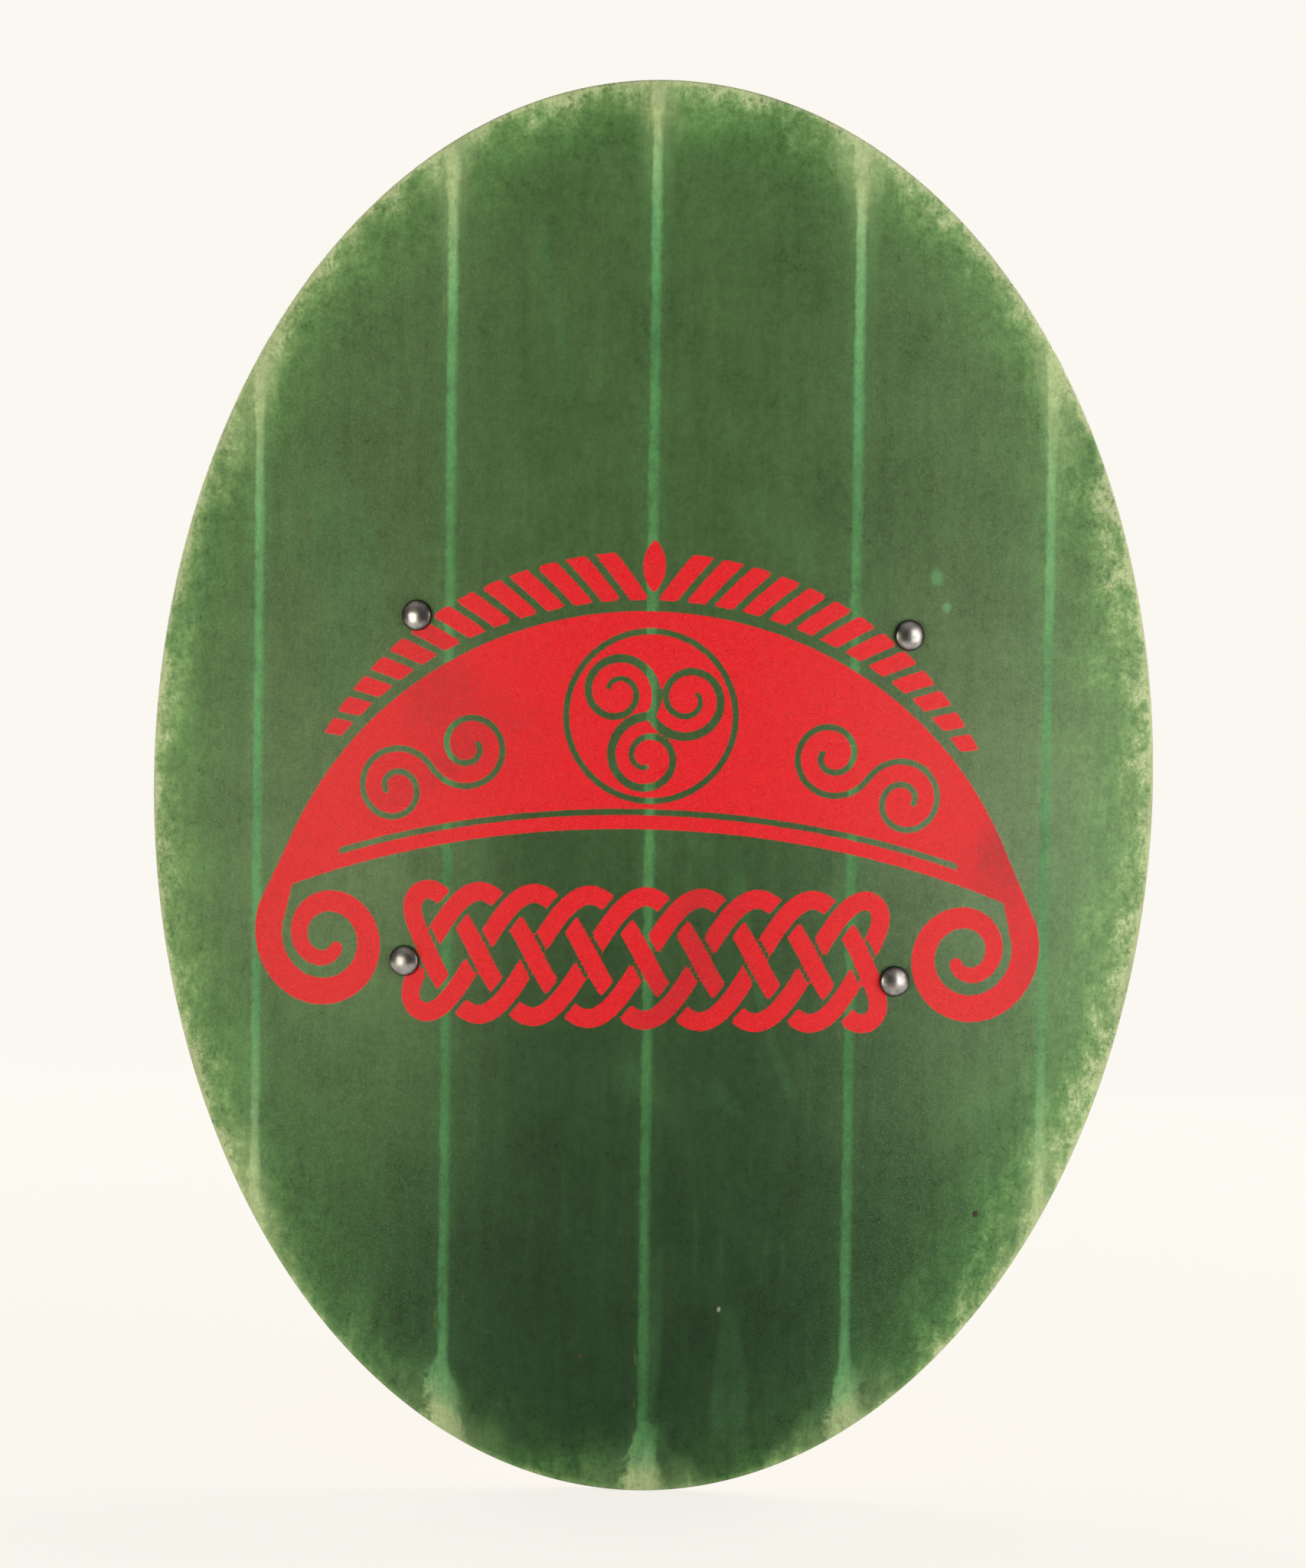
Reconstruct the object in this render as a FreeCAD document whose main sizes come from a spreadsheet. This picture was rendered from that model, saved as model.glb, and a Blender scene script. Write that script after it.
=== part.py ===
import FreeCAD, Part
import math
import os
import Sketcher
from FreeCAD import Vector

# A bent plywood shield for a child, carried on the left arm.
# X runs across the board to the viewer's right, Y from the painted front to the
# back, and Z up. The origin lies in the middle of the hand grip, where the fist closes.
# Lengths are in millimetres, angles in degrees.

SIZES = {
    # the board, seen square from the front, and its bend
    "board_height": 500.0,
    "board_width": 363.2,
    "bend_radius": 420.0,
    "ply_thick": 1.2,
    "edge_ease": 0.7,
    "trim_allowance": 12.0,
    # where the two straps and their rivets sit, along the curve of the front face
    "strap_pitch": 176.0,
    "rivet_pitch": 123.3,
    "pattern_right": 2.0,
    "pattern_down": 2.65,
    "pattern_turn": 0.88,
    # the leather of both straps
    "strap_width": 28.0,
    "strap_thick": 3.0,
    "strap_end": 14.0,
    "tip_round": 11.0,
    "edge_bevel": 0.6,
    "fold_in": 11.5,
    "fold_radius": 12.0,
    "seat_gap": 0.05,
    # how far each strap stands off the board, and how steeply it leaves it
    "grip_rise": 38.0,
    "grip_lean": 55.0,
    "loop_rise": 52.0,
    "loop_lean": 76.0,
    # the double-cap rivets
    "cap_dia": 11.0,
    "cap_height": 3.2,
    "cap_skirt": 0.7,
    "cap_shoulder": 1.5,
    "cap_wall": 0.4,
    "cap_lip": 1.2,
    "rim_roll": 0.3,
    "post_dia": 4.0,
    "post_bore": 2.8,
    "post_web": 1.5,
    "flange_thick": 0.5,
    "flange_gap": 0.15,
    "flare_rise": 0.8,
    "flare_out": 0.5,
    "neck_wall": 0.5,
    "neck_depth": 2.2,
    "rivet_fit": 0.05,
    "hole_fit": 0.1,
}

PLIES = ["face_ply", "front_crossband", "core_ply", "rear_crossband", "back_ply"]


# A size as a number and as the text that binds it to the sheet.
class Size:
    def __init__(self, value, text):
        self.value = value
        self.text = text

    def __add__(self, other):
        return Size(self.value + amount(other), f"({self.text} + {text_of(other)})")

    def __sub__(self, other):
        return Size(self.value - amount(other), f"({self.text} - {text_of(other)})")

    def __mul__(self, other):
        return Size(self.value * amount(other), f"({self.text} * {text_of(other)})")

    def __truediv__(self, other):
        return Size(self.value / amount(other), f"({self.text} / {text_of(other)})")

    def __neg__(self):
        return Size(-self.value, f"(0 - {self.text})")


def amount(item):
    return item.value if isinstance(item, Size) else item


def text_of(item):
    return item.text if isinstance(item, Size) else str(item)


def sine(angle):
    return Size(math.sin(math.radians(angle.value)), f"sin({angle.text})")


def cosine(angle):
    return Size(math.cos(math.radians(angle.value)), f"cos({angle.text})")


# The angle in degrees that an arc of this length spans on this radius.
def swing_of(arc_length, radius):
    share = arc_length / radius
    return Size(math.degrees(share.value), f"({share.text} * 180 / pi)")


def make_sheet(doc):
    sheet = doc.addObject("Spreadsheet::Sheet", "Sizes")
    for row, (name, value) in enumerate(SIZES.items(), start=1):
        sheet.set(f"A{row}", name)
        sheet.set(f"B{row}", str(value))
        sheet.setAlias(f"B{row}", name)
    doc.recompute()
    return {name: Size(sheet.get(name), f"Sizes.{name}") for name in SIZES}


doc = FreeCAD.newDocument("shield")
size = make_sheet(doc)
NONE = Size(0.0, "0")

# Sizes worked out from the driving ones.
board_thick = size["ply_thick"] * len(PLIES)
back_radius = size["bend_radius"] - board_thick
cap_radius = size["cap_dia"] / 2
post_radius = size["post_dia"] / 2
neck_bore = post_radius + size["rivet_fit"]
neck_radius = neck_bore + size["neck_wall"]
flange_radius = cap_radius - size["cap_wall"] - size["flange_gap"]
flange_top = size["cap_wall"] + size["flange_thick"]
# a flat strap end spans the hollow of the board's back, and touches at its two long edges
strap_seat = size["strap_width"] * size["strap_width"] / (back_radius * 8) + size["seat_gap"]
strap_back = board_thick + strap_seat + size["strap_thick"]
strap_half = size["rivet_pitch"] / 2 + size["strap_end"]
fold_at = size["rivet_pitch"] / 2 - size["fold_in"]


# One strap with its two rivets is set square to the board where the strap crosses it.
# side is -1 for the hand grip and 1 for the arm loop.
def fixture(side):
    reach = size["strap_pitch"] / 2 * side
    swing = swing_of(size["pattern_right"] + reach * cosine(size["pattern_turn"]), size["bend_radius"])
    height = -size["pattern_down"] - reach * sine(size["pattern_turn"])
    return {"swing": swing, "height": height}


GRIP = fixture(-1)
LOOP = fixture(1)
# the middle of the grip's hollow, measured square to the board from its front face
grip_depth = board_thick + strap_seat + size["grip_rise"] / 2
grip_arm = size["bend_radius"] - grip_depth
board_x = -grip_arm * sine(GRIP["swing"])
board_y = grip_arm * cosine(GRIP["swing"]) - size["bend_radius"]
board_z = -GRIP["height"]


def vector_text(x, y, z):
    return f"create(<<vector>>; {text_of(x)}; {text_of(y)}; {text_of(z)})"


def turn_text(yaw, pitch):
    return f"create(<<rotation>>; {text_of(yaw)}; {text_of(pitch)}; 0)"


def place_text(place, turn):
    return f"create(<<placement>>; {place}; {turn})"


# The placement of a piece at a depth behind the front face and a height on its strap.
def fixture_text(spot, depth, along, half_turn=0):
    radius = size["bend_radius"]
    x = board_x + radius * sine(spot["swing"])
    y = board_y + radius - radius * cosine(spot["swing"])
    z = board_z + spot["height"]
    frame = place_text(vector_text(x, y, z), turn_text(spot["swing"], size["pattern_turn"]))
    return frame + " * " + place_text(vector_text(0, depth, along), turn_text(half_turn, 0))


def new_body(name, placement):
    body = doc.addObject("PartDesign::Body", name)
    body.Label = name
    body.setExpression("Placement", placement)
    return body


def new_sketch(body, name, role):
    sketch = body.newObject("Sketcher::SketchObject", name)
    plane = [item for item in body.Origin.OriginFeatures if item.Role == role][0]
    sketch.AttachmentSupport = (plane, [""])
    sketch.MapMode = "FlatFace"
    return sketch


def rule(sketch, *terms):
    return sketch.addConstraint(Sketcher.Constraint(*terms))


# A dimension of a sketch, bound to the sheet.
def measure(sketch, length, *terms):
    index = rule(sketch, *terms, length.value)
    sketch.setExpression(f"Constraints[{index}]", length.text)


# A corner of a sketch held at a place measured from the sketch's origin.
def pin_corner(sketch, edge, end, x, y):
    measure(sketch, x, "DistanceX", -1, 1, edge, end)
    measure(sketch, y, "DistanceY", -1, 1, edge, end)


def add_line(sketch, start, end):
    return sketch.addGeometry(Part.LineSegment(Vector(*start), Vector(*end)))


def add_arc(sketch, centre, radius, start, end):
    circle = Part.Circle(Vector(*centre), Vector(0, 0, 1), radius)
    return sketch.addGeometry(Part.ArcOfCircle(circle, math.radians(start), math.radians(end)))


# A closed outline of straight edges through corners given as pairs of sizes.
def add_polygon(sketch, corners):
    points = [(x.value, y.value) for x, y in corners]
    edges = [add_line(sketch, points[i - 1], points[i]) for i in range(len(points))]
    for i, edge in enumerate(edges):
        rule(sketch, "Coincident", edges[i - 1], 2, edge, 1)
        pin_corner(sketch, edge, 2, *corners[i])
    return edges


def add_feature(body, kind, name, profile):
    feature = body.newObject(f"PartDesign::{kind}", name)
    feature.Profile = profile
    return feature


# Cuts a sketch's outline right through the body both ways, and makes sure that it cut.
def cut_through(body, name, profile):
    before = body.Tip.Shape.Volume
    cut = add_feature(body, "Pocket", name, profile)
    cut.Type = "ThroughAll"
    cut.SideType = "Symmetric"
    doc.recompute()
    if cut.Shape.Volume >= before:
        raise RuntimeError(f"{body.Label}: {name} cuts nothing")
    return cut


# A full turn about the body's Y axis.
def spin(body, name, profile):
    turned = add_feature(body, "Revolution", name, profile)
    turned.ReferenceAxis = (profile, ["V_Axis"])
    doc.recompute()
    return turned


# The edges of a feature that pass a test, rounded or bevelled by one size.
def dress_edges(body, name, base, amount_off, wanted, kind="Chamfer", sized_by="Size"):
    names = [f"Edge{i}" for i, edge in enumerate(base.Shape.Edges, start=1) if wanted(edge)]
    if not names:
        raise RuntimeError(f"{body.Label}: {name} finds no edge")
    dressed = body.newObject(f"PartDesign::{kind}", name)
    dressed.Base = (base, names)
    dressed.setExpression(sized_by, amount_off.text)
    doc.recompute()
    return dressed


# The plan of a bent sheet, two arcs about one centre closed by two short ends, drawn
# with the front of the finished board touching the sketch's origin.
def bent_plan(body, outer, inner):
    sketch = new_sketch(body, "bend", "XY_Plane")
    radius = size["bend_radius"]
    half = size["board_width"] / 2 + size["trim_allowance"]
    reach = math.degrees(math.asin(half.value / outer.value))
    centre = (0, radius.value)
    front = add_arc(sketch, centre, outer.value, -reach - 90, reach - 90)
    back = add_arc(sketch, centre, inner.value, -reach - 90, reach - 90)
    for end in (1, 2):
        ends = [sketch.getPoint(front, end), sketch.getPoint(back, end)]
        side = add_line(sketch, ends[0], ends[1])
        rule(sketch, "Coincident", front, end, side, 1)
        rule(sketch, "Coincident", back, end, side, 2)
    rule(sketch, "Coincident", front, 3, back, 3)
    rule(sketch, "PointOnObject", front, 3, -2)
    rule(sketch, "Symmetric", front, 1, front, 2, -2)
    rule(sketch, "Symmetric", back, 1, back, 2, -2)
    measure(sketch, radius, "DistanceY", -1, 1, front, 3)
    measure(sketch, outer, "Radius", front)
    measure(sketch, inner, "Radius", back)
    measure(sketch, half * 2, "DistanceX", front, 1, front, 2)
    measure(sketch, half * 2, "DistanceX", back, 1, back, 2)
    return sketch


# Everything outside the shield's upright ellipse, which is trimmed off straight through.
def outline_waste(body):
    sketch = new_sketch(body, "outline", "XZ_Plane")
    high = size["board_height"] / 2
    wide = size["board_width"] / 2
    ellipse = sketch.addGeometry(Part.Ellipse(Vector(0, high.value), Vector(wide.value, 0), Vector(0, 0)))
    sketch.exposeInternalGeometry(ellipse)
    rule(sketch, "Coincident", ellipse, 3, -1, 1)
    rule(sketch, "Vertical", ellipse + 1)
    measure(sketch, size["board_height"], "Distance", ellipse + 1)
    measure(sketch, size["board_width"], "Distance", ellipse + 2)
    right = wide + size["trim_allowance"] * 2
    top = high + size["trim_allowance"] * 2
    add_polygon(sketch, [(-right, -top), (right, -top), (right, top), (-right, top)])
    return sketch


# The two rivet holes of one strap, square to the board where the strap crosses it.
def hole_pair(body, spot, name):
    sketch = new_sketch(body, name, "XZ_Plane")
    radius = size["bend_radius"]
    back = radius * cosine(spot["swing"]) - radius
    place = vector_text(radius * sine(spot["swing"]), spot["height"], back)
    turn = turn_text(NONE, spot["swing"]) + " * " + turn_text(-size["pattern_turn"], NONE)
    sketch.setExpression("AttachmentOffset", place_text(place, turn))
    for side in (-1, 1):
        add_hole(sketch, size["rivet_pitch"] / 2 * side, post_radius + size["hole_fit"])
    return sketch


def add_hole(sketch, along, radius):
    hole = sketch.addGeometry(Part.Circle(Vector(0, along.value), Vector(0, 0, 1), radius.value))
    rule(sketch, "PointOnObject", hole, 3, -2)
    measure(sketch, along, "DistanceY", -1, 1, hole, 3)
    measure(sketch, radius, "Radius", hole)


# One ply: a sheet bent about an upright axis, trimmed to the ellipse and drilled. The two
# outer plies have the sharp edge of their outside taken off.
def make_ply(number, name):
    board_place = place_text(vector_text(board_x, board_y, board_z), turn_text(0, 0))
    body = new_body(name, board_place)
    outer = size["bend_radius"] - size["ply_thick"] * number
    inner = outer - size["ply_thick"]
    sheet = add_feature(body, "Pad", "sheet", bent_plan(body, outer, inner))
    sheet.SideType = "Symmetric"
    sheet.setExpression("Length", (size["board_height"] + size["trim_allowance"] * 2).text)
    doc.recompute()
    cut_through(body, "trim", outline_waste(body))
    cut_through(body, "grip_holes", hole_pair(body, GRIP, "grip_drill"))
    last = cut_through(body, "loop_holes", hole_pair(body, LOOP, "loop_drill"))
    outside = {0: outer.value, len(PLIES) - 1: inner.value}.get(number)
    if outside:
        dress_edges(body, "edge", last, size["edge_ease"], lambda edge: on_outline(edge, outside))
    return body


# An edge of the board's outline that lies on the face of this radius.
def on_outline(edge, radius):
    middle = edge.valueAt((edge.FirstParameter + edge.LastParameter) / 2)
    distance = math.hypot(middle.x, middle.y - size["bend_radius"].value)
    long_enough = edge.Length > size["board_width"].value
    return long_enough and abs(distance - radius) < size["ply_thick"].value / 2


# The line that a strap's middle follows: flat under the rivet, folded away from the
# board, a straight flank, one round crown, and the same again in reverse.
def strap_path(body, rise, lean):
    sketch = new_sketch(body, "path", "YZ_Plane")
    half_thick = size["strap_thick"] / 2
    fold = size["fold_radius"] + half_thick
    angle = math.radians(lean.value)
    sine_lean, cosine_lean = math.sin(angle), math.cos(angle)
    foot, span = half_thick.value, fold_at.value
    both_radii = (span * sine_lean - rise.value * cosine_lean) / (1 - cosine_lean)
    crown = both_radii - fold.value
    centre_low = (foot + fold.value, -span)
    centre_top = (foot + rise.value - crown, 0)
    low = [
        add_line(sketch, (foot, -strap_half.value), (foot, -span)),
        add_arc(sketch, centre_low, fold.value, 180 - lean.value, 180),
    ]
    leaves = sketch.getPoint(low[1], 1)
    crown_low = add_arc(sketch, centre_top, crown, -lean.value, 0)
    low.append(add_line(sketch, leaves, sketch.getPoint(crown_low, 1)))
    crown_high = add_arc(sketch, centre_top, crown, 0, lean.value)
    arrives = Vector(leaves.x, -leaves.y)
    high = [
        add_line(sketch, (foot, span), (foot, strap_half.value)),
        add_arc(sketch, (centre_low[0], span), fold.value, 180, 180 + lean.value),
        add_line(sketch, sketch.getPoint(crown_high, 2), arrives),
    ]
    pad, bend, flank = low
    rule(sketch, "Tangent", pad, 2, bend, 2)
    rule(sketch, "Tangent", bend, 1, flank, 1)
    rule(sketch, "Tangent", flank, 2, crown_low, 1)
    rule(sketch, "Coincident", crown_low, 2, crown_high, 1)
    rule(sketch, "Coincident", crown_low, 3, crown_high, 3)
    rule(sketch, "PointOnObject", crown_low, 3, -1)
    rule(sketch, "PointOnObject", crown_low, 2, -1)
    measure(sketch, half_thick, "DistanceX", -1, 1, pad, 1)
    rule(sketch, "Vertical", pad)
    measure(sketch, strap_half, "DistanceY", pad, 1, -1, 1)
    measure(sketch, fold_at, "DistanceY", pad, 2, -1, 1)
    measure(sketch, fold, "Radius", bend)
    measure(sketch, half_thick + rise, "DistanceX", -1, 1, crown_low, 2)
    rule(sketch, "Angle", flank, math.radians(90) - angle)
    sketch.setExpression(f"Constraints[{sketch.ConstraintCount - 1}]", f"90 - {lean.text}")
    pad, bend, flank = high
    rule(sketch, "Tangent", pad, 1, bend, 1)
    rule(sketch, "Tangent", bend, 2, flank, 2)
    rule(sketch, "Tangent", flank, 1, crown_high, 2)
    rule(sketch, "Symmetric", low[0], 1, pad, 2, -1)
    rule(sketch, "Symmetric", low[0], 2, pad, 1, -1)
    rule(sketch, "Equal", low[1], bend)
    return sketch


# A strap: a flat strip swept along its path, with round tips, bevelled edges and a hole in
# each end for the rivet's neck.
def make_strap(name, spot, rise, lean):
    body = new_body(name, fixture_text(spot, board_thick + strap_seat, 0))
    path = strap_path(body, rise, lean)
    section = new_sketch(body, "section", "XY_Plane")
    half = size["strap_width"] / 2
    section.setExpression("AttachmentOffset.Base.z", (-strap_half).text)
    thick = size["strap_thick"]
    add_polygon(section, [(-half, NONE), (half, NONE), (half, thick), (-half, thick)])
    doc.recompute()
    strip = add_feature(body, "AdditivePipe", "strip", section)
    strip.Spine = path
    doc.recompute()
    tips = dress_edges(body, "tips", strip, size["tip_round"], is_tip_edge, "Fillet", "Radius")
    dress_edges(body, "border", tips, size["edge_bevel"], is_border_edge)
    drill = new_sketch(body, "drill", "XZ_Plane")
    for side in (-1, 1):
        add_hole(drill, size["rivet_pitch"] / 2 * side, neck_radius + size["hole_fit"])
    cut_through(body, "holes", drill)
    length = sum(edge.Length for edge in path.Shape.Edges)
    print(name, "is cut", round(length, 1), "mm long and holds", round(strip.Shape.Volume), "mm3")
    return body


# A short edge through the strap's thickness.
def is_thickness_edge(edge):
    box = edge.BoundBox
    return max(box.XLength, box.ZLength) < size["edge_bevel"].value


# One of the four corners at a strap's two ends.
def is_tip_edge(edge):
    return is_thickness_edge(edge) and abs(edge.CenterOfMass.z) > strap_half.value - size["edge_bevel"].value


# An edge that runs along a strap's side or round its tip.
def is_border_edge(edge):
    middle = edge.valueAt((edge.FirstParameter + edge.LastParameter) / 2)
    beside = abs(middle.x) > size["strap_width"].value / 2 - size["edge_bevel"].value
    at_tip = abs(middle.z) > strap_half.value - size["tip_round"].value
    return (beside or at_tip) and not is_thickness_edge(edge)


# A cap: a thin pressed shell with a low crown, a tight shoulder and a straight skirt,
# its foot turned in under the flange that it holds. It domes towards -Y. Inside, the
# crown runs as far out as the shoulder's centre and a straight slope takes it to the skirt.
def make_cap(name, placement):
    body = new_body(name, placement)
    sketch = new_sketch(body, "shell", "XY_Plane")
    wall = size["cap_wall"]
    skirt, shoulder, high = size["cap_skirt"], size["cap_shoulder"], size["cap_height"]
    lip = cap_radius - size["cap_lip"]
    inside = cap_radius - wall
    across = cap_radius.value - shoulder.value
    drop = high.value - skirt.value
    # a crown centred on the axis and tangent to the shoulder, from the triangle of centres
    crown = (across**2 + drop**2 - shoulder.value**2) / (drop - shoulder.value) / 2
    tilt = math.degrees(math.asin(across / (crown - shoulder.value)))
    bend = (across, -skirt.value)
    middle = (0, crown - high.value)
    outer_bend = add_arc(sketch, bend, shoulder.value, tilt - 90, 0)
    outer_crown = add_arc(sketch, middle, crown, -90, tilt - 90)
    inner_reach = math.degrees(math.asin(across / (crown - wall.value)))
    inner_crown = add_arc(sketch, middle, crown - wall.value, -90, inner_reach - 90)
    slope = add_line(sketch, (across, -skirt.value), (inside.value, -skirt.value))
    foot = add_line(sketch, (lip.value, 0), (cap_radius.value, 0))
    side = add_line(sketch, (cap_radius.value, 0), (cap_radius.value, -skirt.value))
    hub = add_line(sketch, (0, -high.value), (0, wall.value - high.value))
    inner_side = add_line(sketch, (inside.value, -skirt.value), (inside.value, -wall.value))
    ledge = add_line(sketch, (inside.value, -wall.value), (lip.value, -wall.value))
    edge = add_line(sketch, (lip.value, -wall.value), (lip.value, 0))
    rule(sketch, "Tangent", outer_bend, 2, side, 2)
    rule(sketch, "Tangent", outer_crown, 2, outer_bend, 1)
    rule(sketch, "Coincident", inner_crown, 2, slope, 1)
    rule(sketch, "Coincident", slope, 2, inner_side, 1)
    rule(sketch, "Coincident", outer_crown, 3, inner_crown, 3)
    rule(sketch, "Coincident", outer_crown, 1, hub, 1)
    rule(sketch, "Coincident", inner_crown, 1, hub, 2)
    rule(sketch, "Coincident", foot, 2, side, 1)
    rule(sketch, "Coincident", inner_side, 2, ledge, 1)
    rule(sketch, "Coincident", ledge, 2, edge, 1)
    rule(sketch, "Coincident", edge, 2, foot, 1)
    rule(sketch, "PointOnObject", outer_crown, 3, -2)
    rule(sketch, "PointOnObject", outer_crown, 1, -2)
    rule(sketch, "PointOnObject", inner_crown, 1, -2)
    rule(sketch, "Vertical", side)
    rule(sketch, "Vertical", inner_side)
    rule(sketch, "Horizontal", ledge)
    rule(sketch, "Vertical", edge)
    rule(sketch, "Horizontal", foot)
    measure(sketch, lip, "DistanceX", -1, 1, foot, 1)
    rule(sketch, "PointOnObject", foot, 1, -1)
    measure(sketch, cap_radius, "DistanceX", -1, 1, foot, 2)
    measure(sketch, skirt, "DistanceY", side, 2, side, 1)
    measure(sketch, shoulder, "Radius", outer_bend)
    measure(sketch, cap_radius - shoulder, "DistanceX", -1, 1, inner_crown, 2)
    measure(sketch, inside, "DistanceX", -1, 1, inner_side, 1)
    measure(sketch, skirt, "DistanceY", inner_side, 1, -1, 1)
    measure(sketch, high, "DistanceY", outer_crown, 1, -1, 1)
    measure(sketch, high - wall, "DistanceY", inner_crown, 1, -1, 1)
    measure(sketch, wall, "DistanceY", ledge, 1, -1, 1)
    shell = spin(body, "press", sketch)
    dress_edges(body, "rim", shell, size["rim_roll"], is_foot_edge)
    return body


# The outer edge of a cap's foot.
def is_foot_edge(edge):
    box = edge.BoundBox
    flat = max(abs(box.YMin), abs(box.YMax)) < size["rim_roll"].value / 2
    return flat and abs(box.XMax - cap_radius.value) < size["rim_roll"].value / 2


# A post: a flange held in the front cap and a tube whose open end is flared in the rear cap.
def make_post(name, placement):
    body = new_body(name, placement)
    bore = size["post_bore"] / 2
    inner_flange = flange_radius
    head = -flange_top
    shelf = -size["cap_wall"]
    tube_end = strap_back + flange_top + size["rivet_fit"]
    tip = tube_end + size["flare_rise"]
    out = size["flare_out"]
    web = head + size["post_web"]
    sketch = new_sketch(body, "turned", "XY_Plane")
    add_polygon(sketch, [
        (NONE, head), (inner_flange, head), (inner_flange, shelf), (post_radius, shelf),
        (post_radius, tube_end), (post_radius + out, tip), (bore + out, tip),
        (bore, tube_end), (bore, web), (NONE, web),
    ])
    spin(body, "tube", sketch)
    return body


# A socket: a flange held in the rear cap with a neck that goes into the leather. It is
# drawn with the cap's dome towards -Y, as the cap is.
def make_socket(name, placement):
    body = new_body(name, placement)
    head = -flange_top
    shelf = -size["cap_wall"]
    sketch = new_sketch(body, "turned", "XY_Plane")
    add_polygon(sketch, [
        (neck_bore, head), (flange_radius, head), (flange_radius, shelf),
        (neck_radius, shelf), (neck_radius, size["neck_depth"]), (neck_bore, size["neck_depth"]),
    ])
    spin(body, "eyelet", sketch)
    return body


# One double-cap rivet of four pieces through the board and the end of a strap.
def make_rivet(name, spot, along):
    front = fixture_text(spot, 0, along)
    rear = fixture_text(spot, strap_back, along, half_turn=180)
    return [
        make_cap(f"{name}_front_cap", front),
        make_post(f"{name}_post", front),
        make_socket(f"{name}_socket", rear),
        make_cap(f"{name}_rear_cap", rear),
    ]


# Refuses a document in which anything failed, before any file is written.
def check_document(bodies):
    for item in doc.Objects:
        if "Invalid" in item.State or "Error" in item.State:
            raise RuntimeError(f"{item.Label} failed: {item.State}")
    for body in bodies:
        if body.Shape.isNull() or not body.Shape.isValid():
            raise RuntimeError(f"{body.Label} has no sound shape")


bodies = [make_ply(number, name) for number, name in enumerate(PLIES)]
bodies.append(make_strap("hand_grip", GRIP, size["grip_rise"], size["grip_lean"]))
bodies.append(make_strap("arm_loop", LOOP, size["loop_rise"], size["loop_lean"]))
for strap, spot in (("grip", GRIP), ("loop", LOOP)):
    for level, sign in (("lower", -1), ("upper", 1)):
        bodies += make_rivet(f"{strap}_{level}", spot, size["rivet_pitch"] / 2 * sign)
doc.recompute()
check_document(bodies)

os.makedirs("parts", exist_ok=True)
for body in bodies:
    body.Shape.exportStep(os.path.join("parts", f"{body.Label}.step"))
    print(body.Label, round(body.Shape.Volume, 1), "mm3", len(body.Shape.Solids), "solid")
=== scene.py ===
import math

import bpy
import numpy as np
from mathutils import Matrix, Vector


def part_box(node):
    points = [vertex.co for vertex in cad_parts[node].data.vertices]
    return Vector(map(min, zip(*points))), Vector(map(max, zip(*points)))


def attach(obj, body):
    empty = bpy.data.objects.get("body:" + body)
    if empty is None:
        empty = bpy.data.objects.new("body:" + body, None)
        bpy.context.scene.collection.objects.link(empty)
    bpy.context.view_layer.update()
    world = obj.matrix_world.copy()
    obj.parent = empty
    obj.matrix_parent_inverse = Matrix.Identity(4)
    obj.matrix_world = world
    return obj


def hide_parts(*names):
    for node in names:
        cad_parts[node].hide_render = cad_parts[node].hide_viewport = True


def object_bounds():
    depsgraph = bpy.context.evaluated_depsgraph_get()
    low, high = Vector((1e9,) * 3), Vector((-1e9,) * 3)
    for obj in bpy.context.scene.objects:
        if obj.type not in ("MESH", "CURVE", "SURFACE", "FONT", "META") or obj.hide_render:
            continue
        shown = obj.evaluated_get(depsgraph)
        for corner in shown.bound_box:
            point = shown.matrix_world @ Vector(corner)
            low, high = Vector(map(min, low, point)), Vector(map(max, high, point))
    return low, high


# A bent plywood shield: stained green, printed in red, carried by two leather straps.
# The CAD model gives every place. This script gives the looks.

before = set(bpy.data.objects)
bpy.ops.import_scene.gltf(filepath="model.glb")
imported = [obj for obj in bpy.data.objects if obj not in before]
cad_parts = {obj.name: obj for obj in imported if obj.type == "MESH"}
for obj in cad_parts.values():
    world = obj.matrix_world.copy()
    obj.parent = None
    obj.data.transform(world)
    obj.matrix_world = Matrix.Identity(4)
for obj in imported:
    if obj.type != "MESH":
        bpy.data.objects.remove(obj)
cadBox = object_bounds()
print("frame loaded:", len(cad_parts), "nodes")

# millimetres, as the board was built
board = {
    "bendRadius": 420.0,
    "thick": 6.0,
    "plyThick": 1.2,
    "strapPitch": 176.0,  # between the straps, along the bend
    "rivetPitch": 123.3,  # between a strap's two rivets
    "patternRight": 2.0,  # how far the four rivets as one sit off the board's middle
    "patternDown": 2.65,
    "patternTurn": 0.88,  # degrees
}
boardLow, boardHigh = (np.array(corner) * 1000 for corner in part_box("face_ply"))
middleX, middleZ = (boardLow[0] + boardHigh[0]) / 2, (boardLow[2] + boardHigh[2]) / 2
frontY = boardLow[1]
halfWide, halfHigh = (boardHigh[0] - boardLow[0]) / 2, (boardHigh[2] - boardLow[2]) / 2
apex = Vector((middleX, frontY, middleZ)) / 1000  # the front's middle, in metres


def addObject(name, data):
    thing = bpy.data.objects.new(name, data)
    bpy.context.scene.collection.objects.link(thing)
    return thing


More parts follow.
